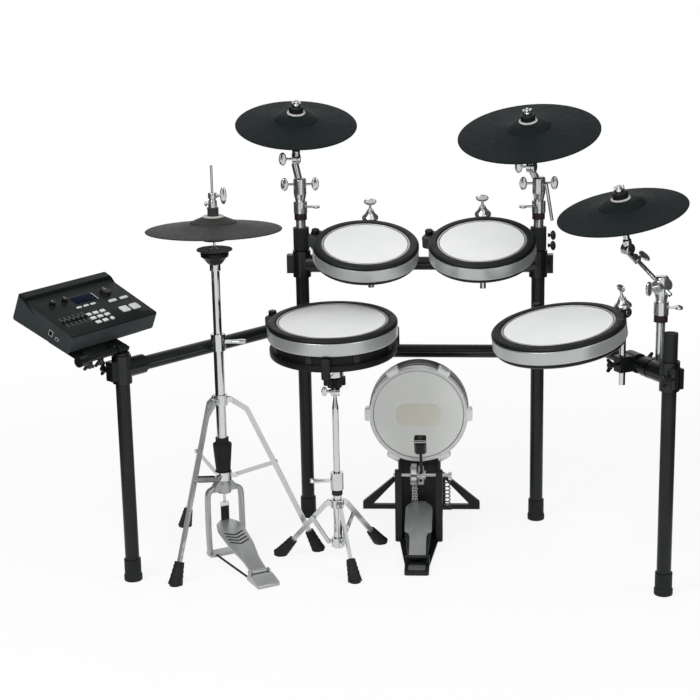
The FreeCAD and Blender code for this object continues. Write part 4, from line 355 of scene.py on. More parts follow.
# label, dark and light tone, roughness from and to; the height of the grain is in thousandths of a millimetre
finishes = {
    "rackBlack": grained("satin black paint", (0.0115, 0.0138, 0.0134), (0.0145, 0.017, 0.0166),
        (0.26, 0.36), gloss=0.2, grain=900),
    "castBlack": grained("black cast clamps", (0.006, 0.0072, 0.007), (0.009, 0.0104, 0.0102), (0.24, 0.34),
        gloss=0.4, grain=700, height=30),
    "boltBlack": grained("black wing bolts", (0.0085, 0.0095, 0.0095), (0.012, 0.0132, 0.0132), (0.3, 0.42),
        gloss=0.18),
    "footRubber": grained("black foot rubber", (0.0125, 0.0138, 0.014), (0.0165, 0.018, 0.0182),
        (0.5, 0.66), gloss=0.15, grain=1100, height=50),
    "cymbalRubber": grained("charcoal cymbal rubber", (0.0058, 0.0094, 0.0096), (0.0078, 0.0118, 0.012),
        (0.5, 0.6), gloss=0.06, grain=1600, height=30),
    "hatRubber": grained("grey hi-hat rubber", (0.0225, 0.0225, 0.0217), (0.029, 0.029, 0.028), (0.5, 0.6),
        gloss=0.15, grain=1600, height=30),
    "rimRubber": grained("black rim rubber", (0.0052, 0.006, 0.006), (0.0078, 0.0088, 0.0088), (0.4, 0.52),
        gloss=0.18, grain=1500),
    "casingPlastic": grained("black casing plastic", (0.0036, 0.0036, 0.0038), (0.0066, 0.0066, 0.007),
        (0.32, 0.44), gloss=0.2, grain=1200, height=30),
    "ribPlastic": grained("dark rib plastic", (0.011, 0.0115, 0.012), (0.015, 0.0155, 0.016), (0.3, 0.4),
        gloss=0.3),
    "housePlastic": grained("dark grey housing plastic", (0.03, 0.032, 0.034), (0.04, 0.042, 0.044),
        (0.4, 0.5), gloss=0.25, grain=1200, height=40),
    "bandSilver": grained("silver pad band", (0.44, 0.455, 0.455), (0.46, 0.475, 0.475), (0.3, 0.32), 0.6,
        patch=3, smudge=6, grain=500, height=1),
    "headMesh": grained("white mesh head", (0.76, 0.775, 0.77), (0.8, 0.81, 0.805), (0.65, 0.75),
        gloss=0.12, grain=900, height=80),
    "kickFilm": grained("pale kick head", (0.735, 0.755, 0.725), (0.775, 0.79, 0.76), (0.42, 0.55)),
    "patchBeige": grained("beige strike patch", (0.7, 0.69, 0.61), (0.74, 0.73, 0.65), (0.5, 0.62)),
    "chrome": grained("polished chrome", (0.58, 0.59, 0.6), (0.64, 0.65, 0.66), (0.05, 0.1), 1, smudge=40,
        grain=300, height=4),
    "castSilver": grained("polished castings", (0.58, 0.59, 0.595), (0.64, 0.65, 0.655), (0.12, 0.2), 0.92,
        patch=12, smudge=24, grain=500, height=4),
    "satinAlloy": grained("satin cast alloy", (0.36, 0.37, 0.372), (0.42, 0.43, 0.432), (0.3, 0.4), 0.6,
        grain=900, height=30),
    "darkSteel": grained("dark spring steel", (0.1, 0.1, 0.105), (0.15, 0.15, 0.155), (0.25, 0.35), 0.9),
    "seatGrey": grained("grey seat felt", (0.44, 0.43, 0.42), (0.5, 0.49, 0.48), (0.7, 0.85), gloss=0.2,
        grain=1800, height=100),
    "brightSteel": grained("bright steel", (0.5, 0.5, 0.5), (0.58, 0.58, 0.58), (0.16, 0.28), 1),
    "caseGrey": grained("module case grey", (0.029, 0.0365, 0.0367), (0.035, 0.043, 0.0432), (0.42, 0.54),
        gloss=0.15, grain=1300, height=40),
    "panelDark": grained("module panel", (0.0055, 0.0072, 0.0075), (0.0072, 0.0092, 0.0096), (0.44, 0.54),
        gloss=0.12),
    "keyPale": grained("pale keys", (0.54, 0.56, 0.56), (0.62, 0.64, 0.64), (0.4, 0.5)),
    "keyGrey": grained("grey pad keys", (0.56, 0.575, 0.575), (0.62, 0.635, 0.635), (0.42, 0.52)),
    "markPale": grained("pale marks", (0.62, 0.63, 0.63), (0.7, 0.71, 0.71), (0.5, 0.6)),
    "knobBlack": grained("black knobs", (0.0035, 0.0035, 0.0037), (0.006, 0.006, 0.0063), (0.32, 0.44),
        gloss=0.22),
    "screenGlass": grained("dark screen", (0.0008, 0.0042, 0.013), (0.0012, 0.0055, 0.017), (0.4, 0.5),
        gloss=0.02),
    "feltPale": grained("pale felt", (0.45, 0.45, 0.43), (0.58, 0.58, 0.56), (0.8, 0.95), grain=2200,
        height=200),
    "collarPlum": grained("plum collar ring", (0.014, 0.0065, 0.0095), (0.024, 0.011, 0.016), (0.4, 0.5),
        gloss=0.25),
    # pale line along the rail grooves: a painted highlight in the base colour
    "grooveHighlight": grained("painted rail groove highlight", (0.055, 0.06, 0.06), (0.075, 0.08, 0.08), (0.3, 0.4)),
    "seamGrey": grained("grey head seam", (0.22, 0.225, 0.225), (0.28, 0.285, 0.285), (0.4, 0.5)),
    "tickGrey": grained("grey scale marks", (0.15, 0.16, 0.16), (0.2, 0.21, 0.21), (0.5, 0.6)),
    "insetGrey": grained("grey heel inset", (0.075, 0.08, 0.08), (0.1, 0.105, 0.105), (0.45, 0.6),
        grain=900, height=50),
    "legSteel": grained("bright leg steel", (0.5, 0.51, 0.515), (0.57, 0.58, 0.585), (0.14, 0.22), 0.62,
        patch=12, smudge=24, grain=500, height=4),
    "ringGrey": grained("grey head ring", (0.46, 0.465, 0.47), (0.54, 0.545, 0.55), (0.3, 0.42), 0.6),
    "hoopSilver": grained("silver kick hoop", (0.68, 0.69, 0.69), (0.72, 0.73, 0.73), (0.28, 0.32), 0.5,
        patch=3, smudge=6, height=2),
    "shellGrey": grained("grey kick shell", (0.085, 0.09, 0.09), (0.12, 0.125, 0.125), (0.35, 0.45), 0.3)}
print("finishes:", len(finishes))

# distances of triangle middles from an upright axis, from the kick pad's axis and from the nearest rail
hatAxis, snareAxis = (jointAt(name)[0] for name in ("hihat_height", "snare_height"))
kickAxis = discFrame(nodePoints("kick_head"), (0.0, -1.0, 0.0), up)


def offAxis(at, axis):
    return np.hypot(at[:, 0] - axis[0], at[:, 1] - axis[1])


def offLine(at, middle, way):
    return np.linalg.norm(np.cross(at - middle, way), axis=1)


# a rail's axis runs along its longest spread, through the middle of its reach
def railAxis(corners):
    spots = corners.reshape(-1, 3)
    ways = np.linalg.svd(spots - spots.mean(0), full_matrices=False)[2]
    reach = spots @ ways.T
    return (reach.max(0) + reach.min(0)) / 2 @ ways, ways[0]


railAxes = [railAxis(corners) for corners in solidsOf("rack_rails")]
measures = {"x": lambda at: at[:, 0], "y": lambda at: at[:, 1], "z": lambda at: at[:, 2],
            "fromHat": lambda at: offAxis(at, hatAxis), "fromSnare": lambda at: offAxis(at, snareAxis),
            "fromKick": lambda at: offLine(at, kickAxis["middle"], kickAxis["axis"]),
            "fromRails": lambda at: np.min([offLine(at, *rail) for rail in railAxes], axis=0)}


# main finish of each node that stays, and further ones inside bounds in metres on one or more measures
far = math.inf
nodeFinishes = {
    "rack_posts": ["rackBlack"],
    "pedal_frame": ["rackBlack"],
    "beater": ["knobBlack"],
    "rack_clamps": ["castBlack"],
    "module_cradle": ["castBlack"],
    "module_holder": ["castBlack"],
    "cymbal_stands": ["castSilver"],
    "hihat_collar": ["castSilver"],
    "snare_collar": ["castSilver"],
    "pedal_axle": ["brightSteel"],
    "pedal_spring": ["darkSteel"],
    "rack_wing_bolts": ["boltBlack",
        ("castSilver", {"z": (0.875, far)}, {"x": (0.44, far), "z": (0.7, far)})],
    "rack_feet_and_caps": ["footRubber",
        ("collarPlum", {"z": (0.849, far)}, {"x": (0.54, far), "z": (0.674, 0.7)})],
    # the band at the rails' grooves is a painted highlight, a pale line along each rail
    "rack_rails": ["rackBlack", ("grooveHighlight", {"fromRails": (0.0163, 0.01745)})],
    "tom_rods": ["chrome", ("boltBlack", {"z": (-far, 0.715), "y": (-0.2, far)})],
    "kick_tower": ["rackBlack", ("shellGrey", {"fromKick": (-far, 0.1312)})],
    "hihat_base_tube": ["chrome", ("footRubber", {"z": (0.2308, 0.3245), "fromHat": (0.0138, far)})],
    "hihat_rod": ["castSilver", ("footRubber", {"z": (0.09, 0.1345)})],
    "snare_base_tube": ["chrome", ("castSilver", {"fromSnare": (0.0165, far)})],
    "snare_basket": ["chrome", ("footRubber", {"fromSnare": (0.15, far)}),
        ("knobBlack", {"z": (0.478, 0.5045), "fromSnare": (0.0095, far)})]}
for standName in ("hihat", "snare"):
    for number in (1, 2, 3):
        nodeFinishes[f"{standName}_leg_{number}"] = ["legSteel", ("footRubber", {"z": (-far, 0.04)})]
        nodeFinishes[f"{standName}_strut_{number}"] = ["legSteel"]


def inside(at, bounds):
    return np.all([(low < measures[key](at)) & (measures[key](at) < high)
                   for key, (low, high) in bounds.items()], axis=0)


for nodeName, (mainFinish, *areas) in nodeFinishes.items():
    nodeMesh = nodes[nodeName].data
    nodeMesh.materials.clear()
    nodeMesh.materials.append(finishes[mainFinish])
    nodeMesh.polygons.foreach_set("material_index", np.zeros(len(nodeMesh.polygons), np.int32))
    for areaFinish, *boxes in areas:
        shade(nodeMesh, areaFinish, lambda at: np.any([inside(at, box) for box in boxes], axis=0))
print("nodes finished:", len(nodeFinishes))

# pads: corners count from the rim or from the head, as each part says
padShape = {
    "steps": 160, "dip": -3.15, "crown": 1.6, "seat": 5, "under": -5.1, "inside": (-4, -9),
    "rubberIn": [(1, -6.15, 0), (0, -2.2, 1), (4.5, 0, 2)],
    "rubberOut": [(-5, -0.4, 3.2), (0, -5.5, 2.2), (0, -10, 0.4)], "rubberFoot": [(8, -10, 0)],
    "casing": [(-4, -43.2, 0), (-4, -50, 2), (-9, -55, 2), (-16, -55, 0.6), (-17, -53.5, 0.6),
        (-30, -53.5, 0.6), (-31, -55, 0.6)],
    "houseTurnDeg": 150, "houseAt": 7, "house": ((19, 24), -43, -11, 3.5), "knobAt": 13,
    "knob": [(0, -13, 0), (10.5, -13, 0), (10.5, 1, 2.5), (0, 1.4, 0)]}
padRings = {
    "band": ("rim", 5, "bandSilver", "silver_alloy", [(-3, -10.2, 0), (-1.1, -10.2, 0.5), (0.1, -12.2, 0.8),
        (0.1, -40.8, 0.9), (-1.2, -43, 0.5), (-3, -43, 0)]),
    "headRing": ("head", 3, "ringGrey", "silver_alloy",
        [(-4.6, -3.2, 0.3), (-3.8, -1.9, 0.6), (-1, -1.6, 0.6), (-0.2, -3.4, 0)]),
    "headGroove": ("head", 3, "housePlastic", "black_plastic",
        [(-6, -3.2, 0), (-5.8, -2.3, 0.2), (-4.8, -2.3, 0.2), (-4.6, -3.2, 0)])}
pads = {
    "tom_left": {"rim": 137.5, "head": 114},
    "tom_right": {"rim": 137.5, "head": 114},
    "floor_tom": {"rim": 163, "head": 138, "houseTurnDeg": 100},
    "snare": {"rim": 166, "head": 142, "ribs": 8, "ribAt": -12, "rib": ((3.2, 9), -70, -43.6, 1, 6, 24),
        "ribStartDeg": 22, "casing": [(-3, -43.2, 0), (-12, -43.4, 1), (-12, -69, 1), (-3, -69, 1.5),
        (-3, -85, 1.5), (-17, -85, 0.6), (-18, -83.5, 0.6)]}}


# the rim's highest points, taken on the head's axis, give the pad's level
def padFrame(name, rim, clear=0.0005):
    disc = discFrame(nodePoints(name + "_head"))
    away = nodePoints(name + "_shell") - disc["middle"]
    high = away @ disc["axis"]
    out = np.linalg.norm(away - high[:, None] * disc["axis"], axis=1)
    return moved(disc, high=high[out < rim * milli - clear].max() / milli)


# dome height falls with the square of the radius; then the edge of the seat and the underside
def headProfile(head, crown, seat, count, s):
    share = np.linspace(0, 1, count)
    dome = np.stack([share * head, s["dip"] + crown * (1 - share ** 2), 0 * share], -1)
    return [*dome, (seat, s["dip"], 0), (seat, s["under"], 0), (0, s["under"], 0)]


def buildPad(name, s):
    disc = padFrame(name, s["rim"])
    rim, head, steps = s["rim"], s["head"], s["steps"]
    rubber = (fromRadius(head, s["rubberIn"]) + fromRadius(rim, s["rubberOut"])
              + fromRadius(head, s["rubberFoot"]))
    surface(name + "_rimRubber", [lathe(disc, rubber, steps, True)], "rimRubber", name,
            name + "_shell")
    for part, (anchor, bend, finish, slot, corners) in padRings.items():
        ring = lathe(disc, fromRadius(s[anchor], corners), steps, True, bend)
        surface(f"{name}_{part}", [ring], finish, name)
    skin = lathe(disc, headProfile(head, s["crown"], head + s["seat"], 14, s), steps)
    surface(name + "_skin", [skin], "headMesh", name, name + "_head")
    inset, level = s["inside"]
    cup = [(0, level, 0), (rim + inset, level, 0)] + fromRadius(rim, s["casing"])
    cup.append((0, cup[-1][1], 0))
    surface(name + "_casing", [lathe(disc, cup, steps)], "casingPlastic", name)
    if "ribs" in s:
        ribs = [block(turnedBy(disc, turn), (rim + s["ribAt"], 0), *s["rib"])
                for turn in np.arange(s["ribs"]) * 360.0 / s["ribs"] + s["ribStartDeg"]]
        surface(name + "_ribs", ribs, "ribPlastic", name)
    house = turnedBy(disc, s["houseTurnDeg"])
    shell = block(house, (rim + s["houseAt"], 0), *s["house"])
    surface(name + "_edgeHouse", [shell], "housePlastic", name)
    knob = lathe(moved(house, rim + s["knobAt"]), s["knob"], 40)
    surface(name + "_edgeKnob", [knob], "knobBlack", name)
    return disc


earShape = {
    "span": (11.4, 18.4), "reach": 27, "round": 13, "edge": 1.5, "boltAt": 37,
    "pin": [(0, -21.4, 0), (6, -21.4, 1), (6, 21.4, 1), (0, 21.4, 0)],
    "dome": [(0, 11, 0), (22, 11, 1.5), (22, 17, 4), (12.76, 26, 5), (9.5, 33, 3), (9.5, 37, 1.2),
        (0, 37, 0)]}


# ears: straight sides with a half round nose about the hinge, one on each side of it
def buildEars(name, disc, s):
    hinge, axis = jointAt(name + "_tilt")
    out = unit((hinge - disc["middle"]) - ((hinge - disc["middle"]) @ axis) * axis)
    out = unit(out - (out @ disc["axis"]) * disc["axis"])
    plane = axesOn(hinge, out, axis)
    turn = np.linspace(-np.pi / 2, np.pi / 2, 17)
    nose = s["round"] * np.stack([np.cos(turn), np.sin(turn)], -1)
    outlinePoints = np.vstack([nose, [(-s["reach"], s["round"]), (-s["reach"], -s["round"])]])
    low, high = s["span"]
    ears = [plate(plane, outlinePoints, *span, s["edge"]) for span in ((low, high), (-high, -low))]
    dome = axesOn(hinge, axis, disc["axis"])
    bolt = thumbBolt(moved(dome, high=s["boltAt"])["middle"], disc["axis"], axis)
    surface(name + "_bracket", [lathe(dome, s["dome"], 56, False, 7)] + bolt, "castSilver", name)
    surface(name + "_ears", ears, "castBlack", name)
    surface(name + "_earPin", [lathe(plane, s["pin"], 28)], "chrome", name)


for padName, padSizes in pads.items():
    padDisc = buildPad(padName, {**padShape, **padSizes})
    if padName != "snare":
        buildEars(padName, padDisc, earShape)
print("pads:", len(pads))

# cymbal pads: heights from the disc's edge, which stands rodLength above the tilter
cymbalShape = {
    "rodLength": 96, "mid": 11.1, "under": 6.75, "prongs": (-9.5, 9.5),
    "prong": ((3.4, 2.6), 55.8, 70.3, 1.6, 3),
    "bell": [(58.8, 19.7, 0.8), (56.6, 22.5, 1.4), (36, 34.1, 10), (5.4, 34.5, 0), (5.4, 28, 0),
        (30, 28, 8), (57, 15, 6)],
    "nut": [(0, 54.8, 0), (9, 54.8, 0.6), (9, 59.8, 1), (6.6, 61.8, 1), (6.6, 67.3, 1.2), (4.6, 67.8, 0.5),
        (4.6, 71.8, 1), (0, 72.1, 0)],
    "stem": [(0, -87, 0), (11, -87, 1), (11, -72, 2), (8, -68, 1), (8, 2, 0.8), (10.5, 3, 0.8),
        (10.5, 15.8, 0.8), (0, 15.8, 0)],
    "tilter": [(0, 0.5, 0), (15, 0.5, 0.8), (15, 10, 2), (11, 12, 1), (0, 12, 0)]}
cymbalRings = {
    "feltRing": ("feltPale", "white_head", 64,
        [(0, 34.6, 0), (24, 34.6, 1.5), (24.6, 39, 2), (0, 39.4, 0)]),
    "stopper": ("rimRubber", "black_rubber", 64,
        [(0, 39.1, 0), (19.5, 39.1, 0.5), (19, 53.1, 2.5), (15, 54.8, 1), (0, 54.8, 0)]),
    "seat": ("footRubber", "black_rubber", 48, [(0, 16, 0), (15, 16, 2), (15, 28, 1), (0, 28, 0)])}
cymbalNames = ["crash_left", "ride", "crash_right"]


# thin edge, crowned bow and bell, closed by the underside; bow and underside lie at shares of the edge
cymbalEdge = {
    "rim": [(-1.2, 0.2, 0.6), (0, 1.6, 1), (-1.8, 3.4, 1.2)], "bow": 0.62, "bowTrim": 40, "underside": 0.6,
    "undersideTrim": 30, "steps": 192, "bend": 8}


def cymbalBody(disc, edge, s):
    s = {**cymbalEdge, **s}
    rim = fromRadius(edge, s["rim"]) + [(edge * s["bow"], s["mid"], s["bowTrim"])]
    underside = [(edge * s["underside"], s["under"], s["undersideTrim"])]
    return lathe(disc, rim + s["bell"] + underside, s["steps"], True, s["bend"])


def buildCymbal(name, s):
    disc = discFrame(nodePoints(name + "_cymbal"))
    pivot, axis = jointAt(name + "_tilt")
    disc["middle"] = pivot + s["rodLength"] * milli * disc["axis"]
    surface(name + "_disc", [cymbalBody(disc, disc["radius"], s)], "cymbalRubber", name,
            name + "_cymbal", 40)
    for part, (finish, slot, steps, corners) in cymbalRings.items():
        surface(f"{name}_{part}", [lathe(disc, corners, steps)], finish, name)
    prongs = [block(disc, (x, 0), *s["prong"]) for x in s["prongs"]]
    surface(name + "_wingNut", [lathe(disc, s["nut"], 40)] + prongs, "chrome", name)
    tilter = lathe(axesOn(pivot, unit(np.cross(axis, up)), axis), s["tilter"], 48)
    surface(name + "_stem", [lathe(disc, s["stem"], 40), tilter], "chrome", name)


for cymbalName in cymbalNames:
    buildCymbal(cymbalName, cymbalShape)
print("cymbals:", len(cymbalNames))

# kick pad: heights from the front of its hoop
kickShape = {
    "steps": 160, "head": 126, "crown": 1.2, "seat": 129, "dip": -3.15, "under": -5.1,
    "ring": [(122, -2.8, 0.4), (123, -0.4, 0.8), (125.4, -0.2, 0.8), (126.4, -1.8, 0.6), (128.6, -1.8, 0.6),
        (130, 0, 1.2), (133, -2.2, 1.6), (133, -23, 0.8), (129.2, -24, 0), (129.2, -2.8, 0)],
    "seam": [(120.4, -3, 0), (120.6, -2.3, 0.2), (122, -2.3, 0), (122, -3, 0)], "lugs": 6, "lugAt": 136.5,
    "lug": ((8.5, 18), -26, -0.4, 2.2), "patch": ((0, -2), (60, 32), -2.8, -1.3, 0.3, 3.4, 72)}


def buildKick(s):
    front = ((nodePoints("kick_hoop") - kickAxis["middle"]) @ kickAxis["axis"]).max()
    disc = moved(kickAxis, high=front / milli)
    surface("kick_headSeam", [lathe(disc, s["seam"], s["steps"], True, 3)], "seamGrey", "rack")
    lugs = [block(turnedBy(disc, turn), (s["lugAt"], 0), *s["lug"])
            for turn in np.arange(s["lugs"]) * 360.0 / s["lugs"]]
    surface("kick_hoopRing", [lathe(disc, s["ring"], s["steps"], True)] + lugs, "hoopSilver", "rack",
            "kick_hoop")
    skin = lathe(disc, headProfile(s["head"], s["crown"], s["seat"], 12, s), s["steps"])
    surface("kick_skin", [skin], "kickFilm", "rack", "kick_head")
    surface("kick_patch", [block(disc, *s["patch"])], "patchBeige", "rack")
    return disc


kickDisc = buildKick(kickShape)
print("kick pad done")

# kick shell: its cover, and a curved plate on its top
shellShape = {
    "cover": [(128.6, -23, 0), (134.6, -23, 1.2), (134.6, -86, 9), (104.6, -90, 6), (0, -90, 0)],
    "wall": 134.6, "plateDeg": (64, 116), "plateSpan": (-36, -76), "rise": 0.9, "sink": -0.8, "thick": 1.2}


# radius is the wall's and a little more, and the plate's border dips into the wall
def buildKickShell(disc, s):
    surface("kick_shellCover", [lathe(disc, s["cover"], 160, False, 7)], "shellGrey", "rack")
    turn = np.radians(np.linspace(*s["plateDeg"], 40))
    deep = np.linspace(*s["plateSpan"], 8)[:, None]
    rise = np.full((len(deep) - 2, len(turn) - 2), s["rise"])
    out = s["wall"] + np.pad(rise, 1, constant_values=s["sink"])
    grid = fromDisc(disc, out * np.cos(turn), out * np.sin(turn), deep + 0 * turn)
    cover = surface("kick_recess", [(grid, False, False)], "housePlastic", "rack",
                    smoothDeg=60)
    wall = cover.modifiers.new("wall", "SOLIDIFY")
    wall.thickness, wall.offset = s["thick"] * milli, -1.0


# kick pedal: places in millimetres across, back and up from the middle of the floor
def floorFrame(jointName, at):
    return axesOn((at[0], at[1], 0.0), jointAt(jointName)[1], up)


# axes of a tread: from its hinge towards its toe, with the thickness as the axis
def treadFrame(floor, hinge, toe):
    start, end = fromDisc(floor, *hinge), fromDisc(floor, *toe)
    return axesIn(start, floor["side"], unit(end - start))


def mirrored(half):
    right = rounded(half)
    return np.vstack([right, right[::-1] * (-1, 1)])


def pinCorners(radius, half, trim):
    return [(0, -half, 0), (radius, -half, trim), (radius, half, trim), (0, half, 0)]


pedalShape = {
    "hinge": (0, -320, 22), "toe": (0, -90, 92), "topSpan": (0.1, 3.8, 1.1), "underSpan": (-3.5, 0.1, 0.8),
    "tread": [(22, 5, 0), (22.5, 86, 8), (27, 99, 6), (36, 106, 6), (37, 205, 10), (31, 224, 10),
        (15, 238.5, 6)],
    "under": [(25, 5, 0), (31, 60, 10), (34.5, 104, 8), (34.5, 200, 8), (28, 220, 8), (13, 235, 6)],
    "knuckle": (5.8, 24.5, 1), "heel": (0, -363), "inset": ((22, 17), 9, 10.7, 0.4, 9), "axle": (-126, 181),
    "hubs": (-14, 6), "hub": ((8.4, 13), -24, 24, 2.5), "boltHeights": (-11, 11),
    "bolt": [(0, -1, 0), (4.2, -1, 0), (4.2, 1.2, 0.6), (0, 1.3, 0)]}


def buildKickPedal(s, floor):
    tread = treadFrame(floor, s["hinge"], s["toe"])
    top = plate(tread, mirrored(s["tread"]), *s["topSpan"])
    surface("pedal_tread", [top], "satinAlloy", "kick_pedal", "pedal_footboard")
    under = plate(tread, mirrored(s["under"]), *s["underSpan"])
    knuckle = lathe(alongSide(tread), pinCorners(*s["knuckle"]), 32)
    surface("pedal_underplate", [under, knuckle], "rackBlack", "kick_pedal")
    inset = block(moved(floor, *s["heel"]), (0, 0), *s["inset"])
    surface("pedal_heelInset", [inset], "insetGrey", "rack")
    y, z = s["axle"]
    hubs = [block(moved(floor, x, y, z), (0, 0), *s["hub"]) for x in s["hubs"]]
    surface("pedal_hubs", hubs, "satinAlloy", "kick_beater")
    front = y - s["hub"][0][1]
    bolts = [lathe(facingFront(moved(floor, x, front, z + high)), s["bolt"], 24)
             for x in s["hubs"] for high in s["boltHeights"]]
    surface("pedal_hubBolts", bolts, "knobBlack", "kick_beater")


beaterShape = {
    "across": 8, "reach": 156, "leanDeg": 40, "feltAt": (0, 16.4, 0),
    "felt": ((12, 1.6), -12, 22.4, 0.6, 6, 24), "clipAt": (0, -6.5, 22.3), "wire": (1.1, 1.1, 2, 12),
    "clip": [(17, 2.4, 0.5), (-20, 2.4, 0.5), (-26, 0, 0.5), (-20, -2.4, 0.5), (17, -2.4, 0.5)],
    "bossAt": (0, 6.5, 22),
    "boss": [(6.4, -1, 0), (6.4, 1.2, 0.5), (4.4, 1.2, 0.5), (4, 0.2, 0.3), (0, 0.2, 0)]}


def buildBeater(s, floor, axle):
    lean = math.radians(s["leanDeg"])
    along = -math.sin(lean) * floor["back"] + math.cos(lean) * floor["axis"]
    head = axesOn(fromDisc(floor, s["across"], *axle) + along * s["reach"] * milli, floor["side"], along)
    felt = block(moved(head, *s["feltAt"]), (0, 0), *s["felt"])
    surface("beater_felt", [felt], "patchBeige", "kick_beater")
    clip = moved(head, *s["clipAt"])
    loop = smoothPath([fromDisc(clip, *spot) for spot in s["clip"]])
    wire = sweep(loop, clip["axis"], *s["wire"])
    surface("beater_clip", [wire], "castSilver", "kick_beater")
    boss = lathe(moved(head, *s["bossAt"]), s["boss"], 32)
    surface("beater_boss", [boss], "housePlastic", "kick_beater")


chainShape = {
    "at": (-12, -92), "heights": (179, 101), "links": 11, "pin": (2.4, 7.6, 0.4), "step": 1.5, "outer": 6.6,
    "inner": 1.9, "cheek": ((0, -3.6), (2.9, 5.6), -0.7, 0.7, 0.25, 2.4, 16)}


# pins one above the other, each with four cheeks; every second link is narrower
def buildChain(s, floor):
    skins = []
    for k, high in enumerate(np.linspace(*s["heights"], s["links"])):
        pin = alongSide(moved(floor, *s["at"], high))
        skins.append(lathe(pin, pinCorners(*s["pin"]), 12))
        step = s["step"] * (k % 2)
        outer, inner = s["outer"] - step, s["inner"] + step / 2
        skins += [block(moved(pin, high=across), *s["cheek"]) for across in (-outer, -inner, inner, outer)]
    surface("pedal_chainLinks", skins, "brightSteel", "pedal_chain", "pedal_chain")


pedalFloor = floorFrame("kick_pedal_press", (0.0, 0.0))
buildKickShell(kickDisc, shellShape)
buildKickPedal(pedalShape, pedalFloor)
buildBeater(beaterShape, pedalFloor, pedalShape["axle"])
buildChain(chainShape, pedalFloor)
print("kick pedal done")


# spread of a solid's skin: each triangle adds area/12 of (its corners' squares and the square of their sum)
def boltFrame(corners):
    area = np.linalg.norm(np.cross(corners[:, 1] - corners[:, 0], corners[:, 2] - corners[:, 0]), axis=1)
    middle = (area[:, None] * corners.mean(1)).sum(0) / area.sum()
    away = corners - middle
    total = away.sum(1)
    spread = np.einsum("t,tki,tkj->ij", area, away, away) + np.einsum("t,ti,tj->ij", area, total, total)
    ways = np.linalg.eigh(spread)[1].T
    reach = away.reshape(-1, 3) @ ways.T
    uneven = np.abs(reach.max(0) + reach.min(0))
    stem = 1 if uneven[1] > uneven[2] else 2
    flat = 3 - stem
    wide = np.abs(reach[:, flat]) > 0.006  # only the plate is this wide
    low, high = reach[wide].min(0), reach[wide].max(0)
    disc = axesIn(middle + (low + high) / 2 @ ways, ways[flat], ways[stem])
    return disc, 0.5 * (high - low)[[flat, stem]] / milli, np.ptp(reach[:, 0]) / milli


# domed oval plates over the rack's chrome thumb bolts, which are the thin ones among its bolts
boltShape = {"thin": 8, "over": 1.3, "bulge": 4.4, "power": 3}


def buildRackPlates(s):
    bolts = [boltFrame(corners) for corners in solidsOf("rack_wing_bolts")]
    domes = [lens(disc, (*(half + s["over"]), s["bulge"]), s["power"]) for disc, half, thick in bolts
             if thick < s["thin"]]
    surface("rack_thumbPlates", domes, "castSilver", "rack")
    print("thumb plates:", len(domes))


# paddle levers over both height clamps: oval section along the lever, wider towards its end
leverShape = {
    "along": [0.3, 0.38, 0.52, 0.68, 0.84, 0.95, 1.01], "wide": [7.6, 7.8, 8.6, 9.6, 9.8, 8.6, 5],
    "deep": [4.4, 4.4, 4.6, 5.4, 5.8, 5.2, 3.6], "power": 2.4}


# a lever is the smallest solid of its tube's node, and it lies level, left or right of the tube
def buildLevers(s):
    paddles = []
    for name, axis in (("hihat_base_tube", hatAxis), ("snare_base_tube", snareAxis)):
        spots = min((c.reshape(-1, 3) for c in solidsOf(name)), key=lambda c: np.prod(np.ptp(c, axis=0)))
        low, high = spots.min(0), spots.max(0)
        near, tip = (low[0], high[0]) if spots[:, 0].mean() > axis[0] else (high[0], low[0])
        y, z = spots[:, 1].mean(), (low[2] + high[2]) / 2
        line = between(np.array((near, y, z)), np.array((tip, y, z)), s["along"])
        paddles.append(sweep(line, (0.0, 1.0, 0.0), s["wide"], s["deep"], s["power"]))
    surface("stand_levers", paddles, "castSilver", "rack")


# hi-hat stand: heights from the floor, or from the foot of the pad or the clutch
hatShape = {
    "edge": 175, "padFoot": 876, "lean": 0.04, "mid": 12.4, "under": 7.2,
    "bell": [(60.6, 20.6, 1), (59.4, 23, 1.6), (32, 34.4, 2), (5.4, 35, 0), (5.4, -26, 0), (29, -26, 2),
        (31.5, -22, 2), (31.5, -1, 1), (50, 9, 6)],
    "sleeve": 0.0325, "sleeveTop": 0.004}


def buildHatPad(s):
    foot = moved(upright(hatAxis), high=s["padFoot"])
    disc = axesOn(foot["middle"], foot["side"], unit((0.0, s["lean"], 1.0)))
    pad = surface("hihat_disc", [cymbalBody(disc, s["edge"], s)], "hatRubber", "hihat_cymbal",
                  "hihat_pad", 18)
    shade(pad.data, "knobBlack", lambda at: (offAxis(at, hatAxis) < s["sleeve"])
          & ((at - disc["middle"]) @ disc["axis"] < s["sleeveTop"]))


clutchShape = {
    "foot": 911.4, "washer": [(4, 0, 0), (27.5, 0, 1), (28, 3, 1.4), (4, 3.2, 0)],
    "nut": [(3.6, 3, 0), (14, 3, 0.8), (14, 20.5, 0.8), (14.8, 21, 0.6), (14.8, 24.6, 1), (3.6, 24.8, 0)],
    "knurls": 30, "knurl": 0.35, "knurlFrom": 13, "knurlTop": 20.6,
    "sleeve": [(3.6, 24.8, 0), (11.5, 24.8, 0.8), (11.5, 42.5, 1), (8.6, 43.5, 0.5), (8.6, 47, 0.5),
        (11, 48, 0.8), (11, 62.5, 1.6), (3.6, 63, 0)],
    "ballAt": (-10.5, 0, 34),
    "ball": [(0, 0, 0), (2.4, 0, 0), (2.4, 3, 0.6), (6.6, 4.5, 2.4), (6.6, 9, 2.6), (0, 11, 0)],
    "wingAt": (11, 0, 55), "wing": (46, 17, 9)}


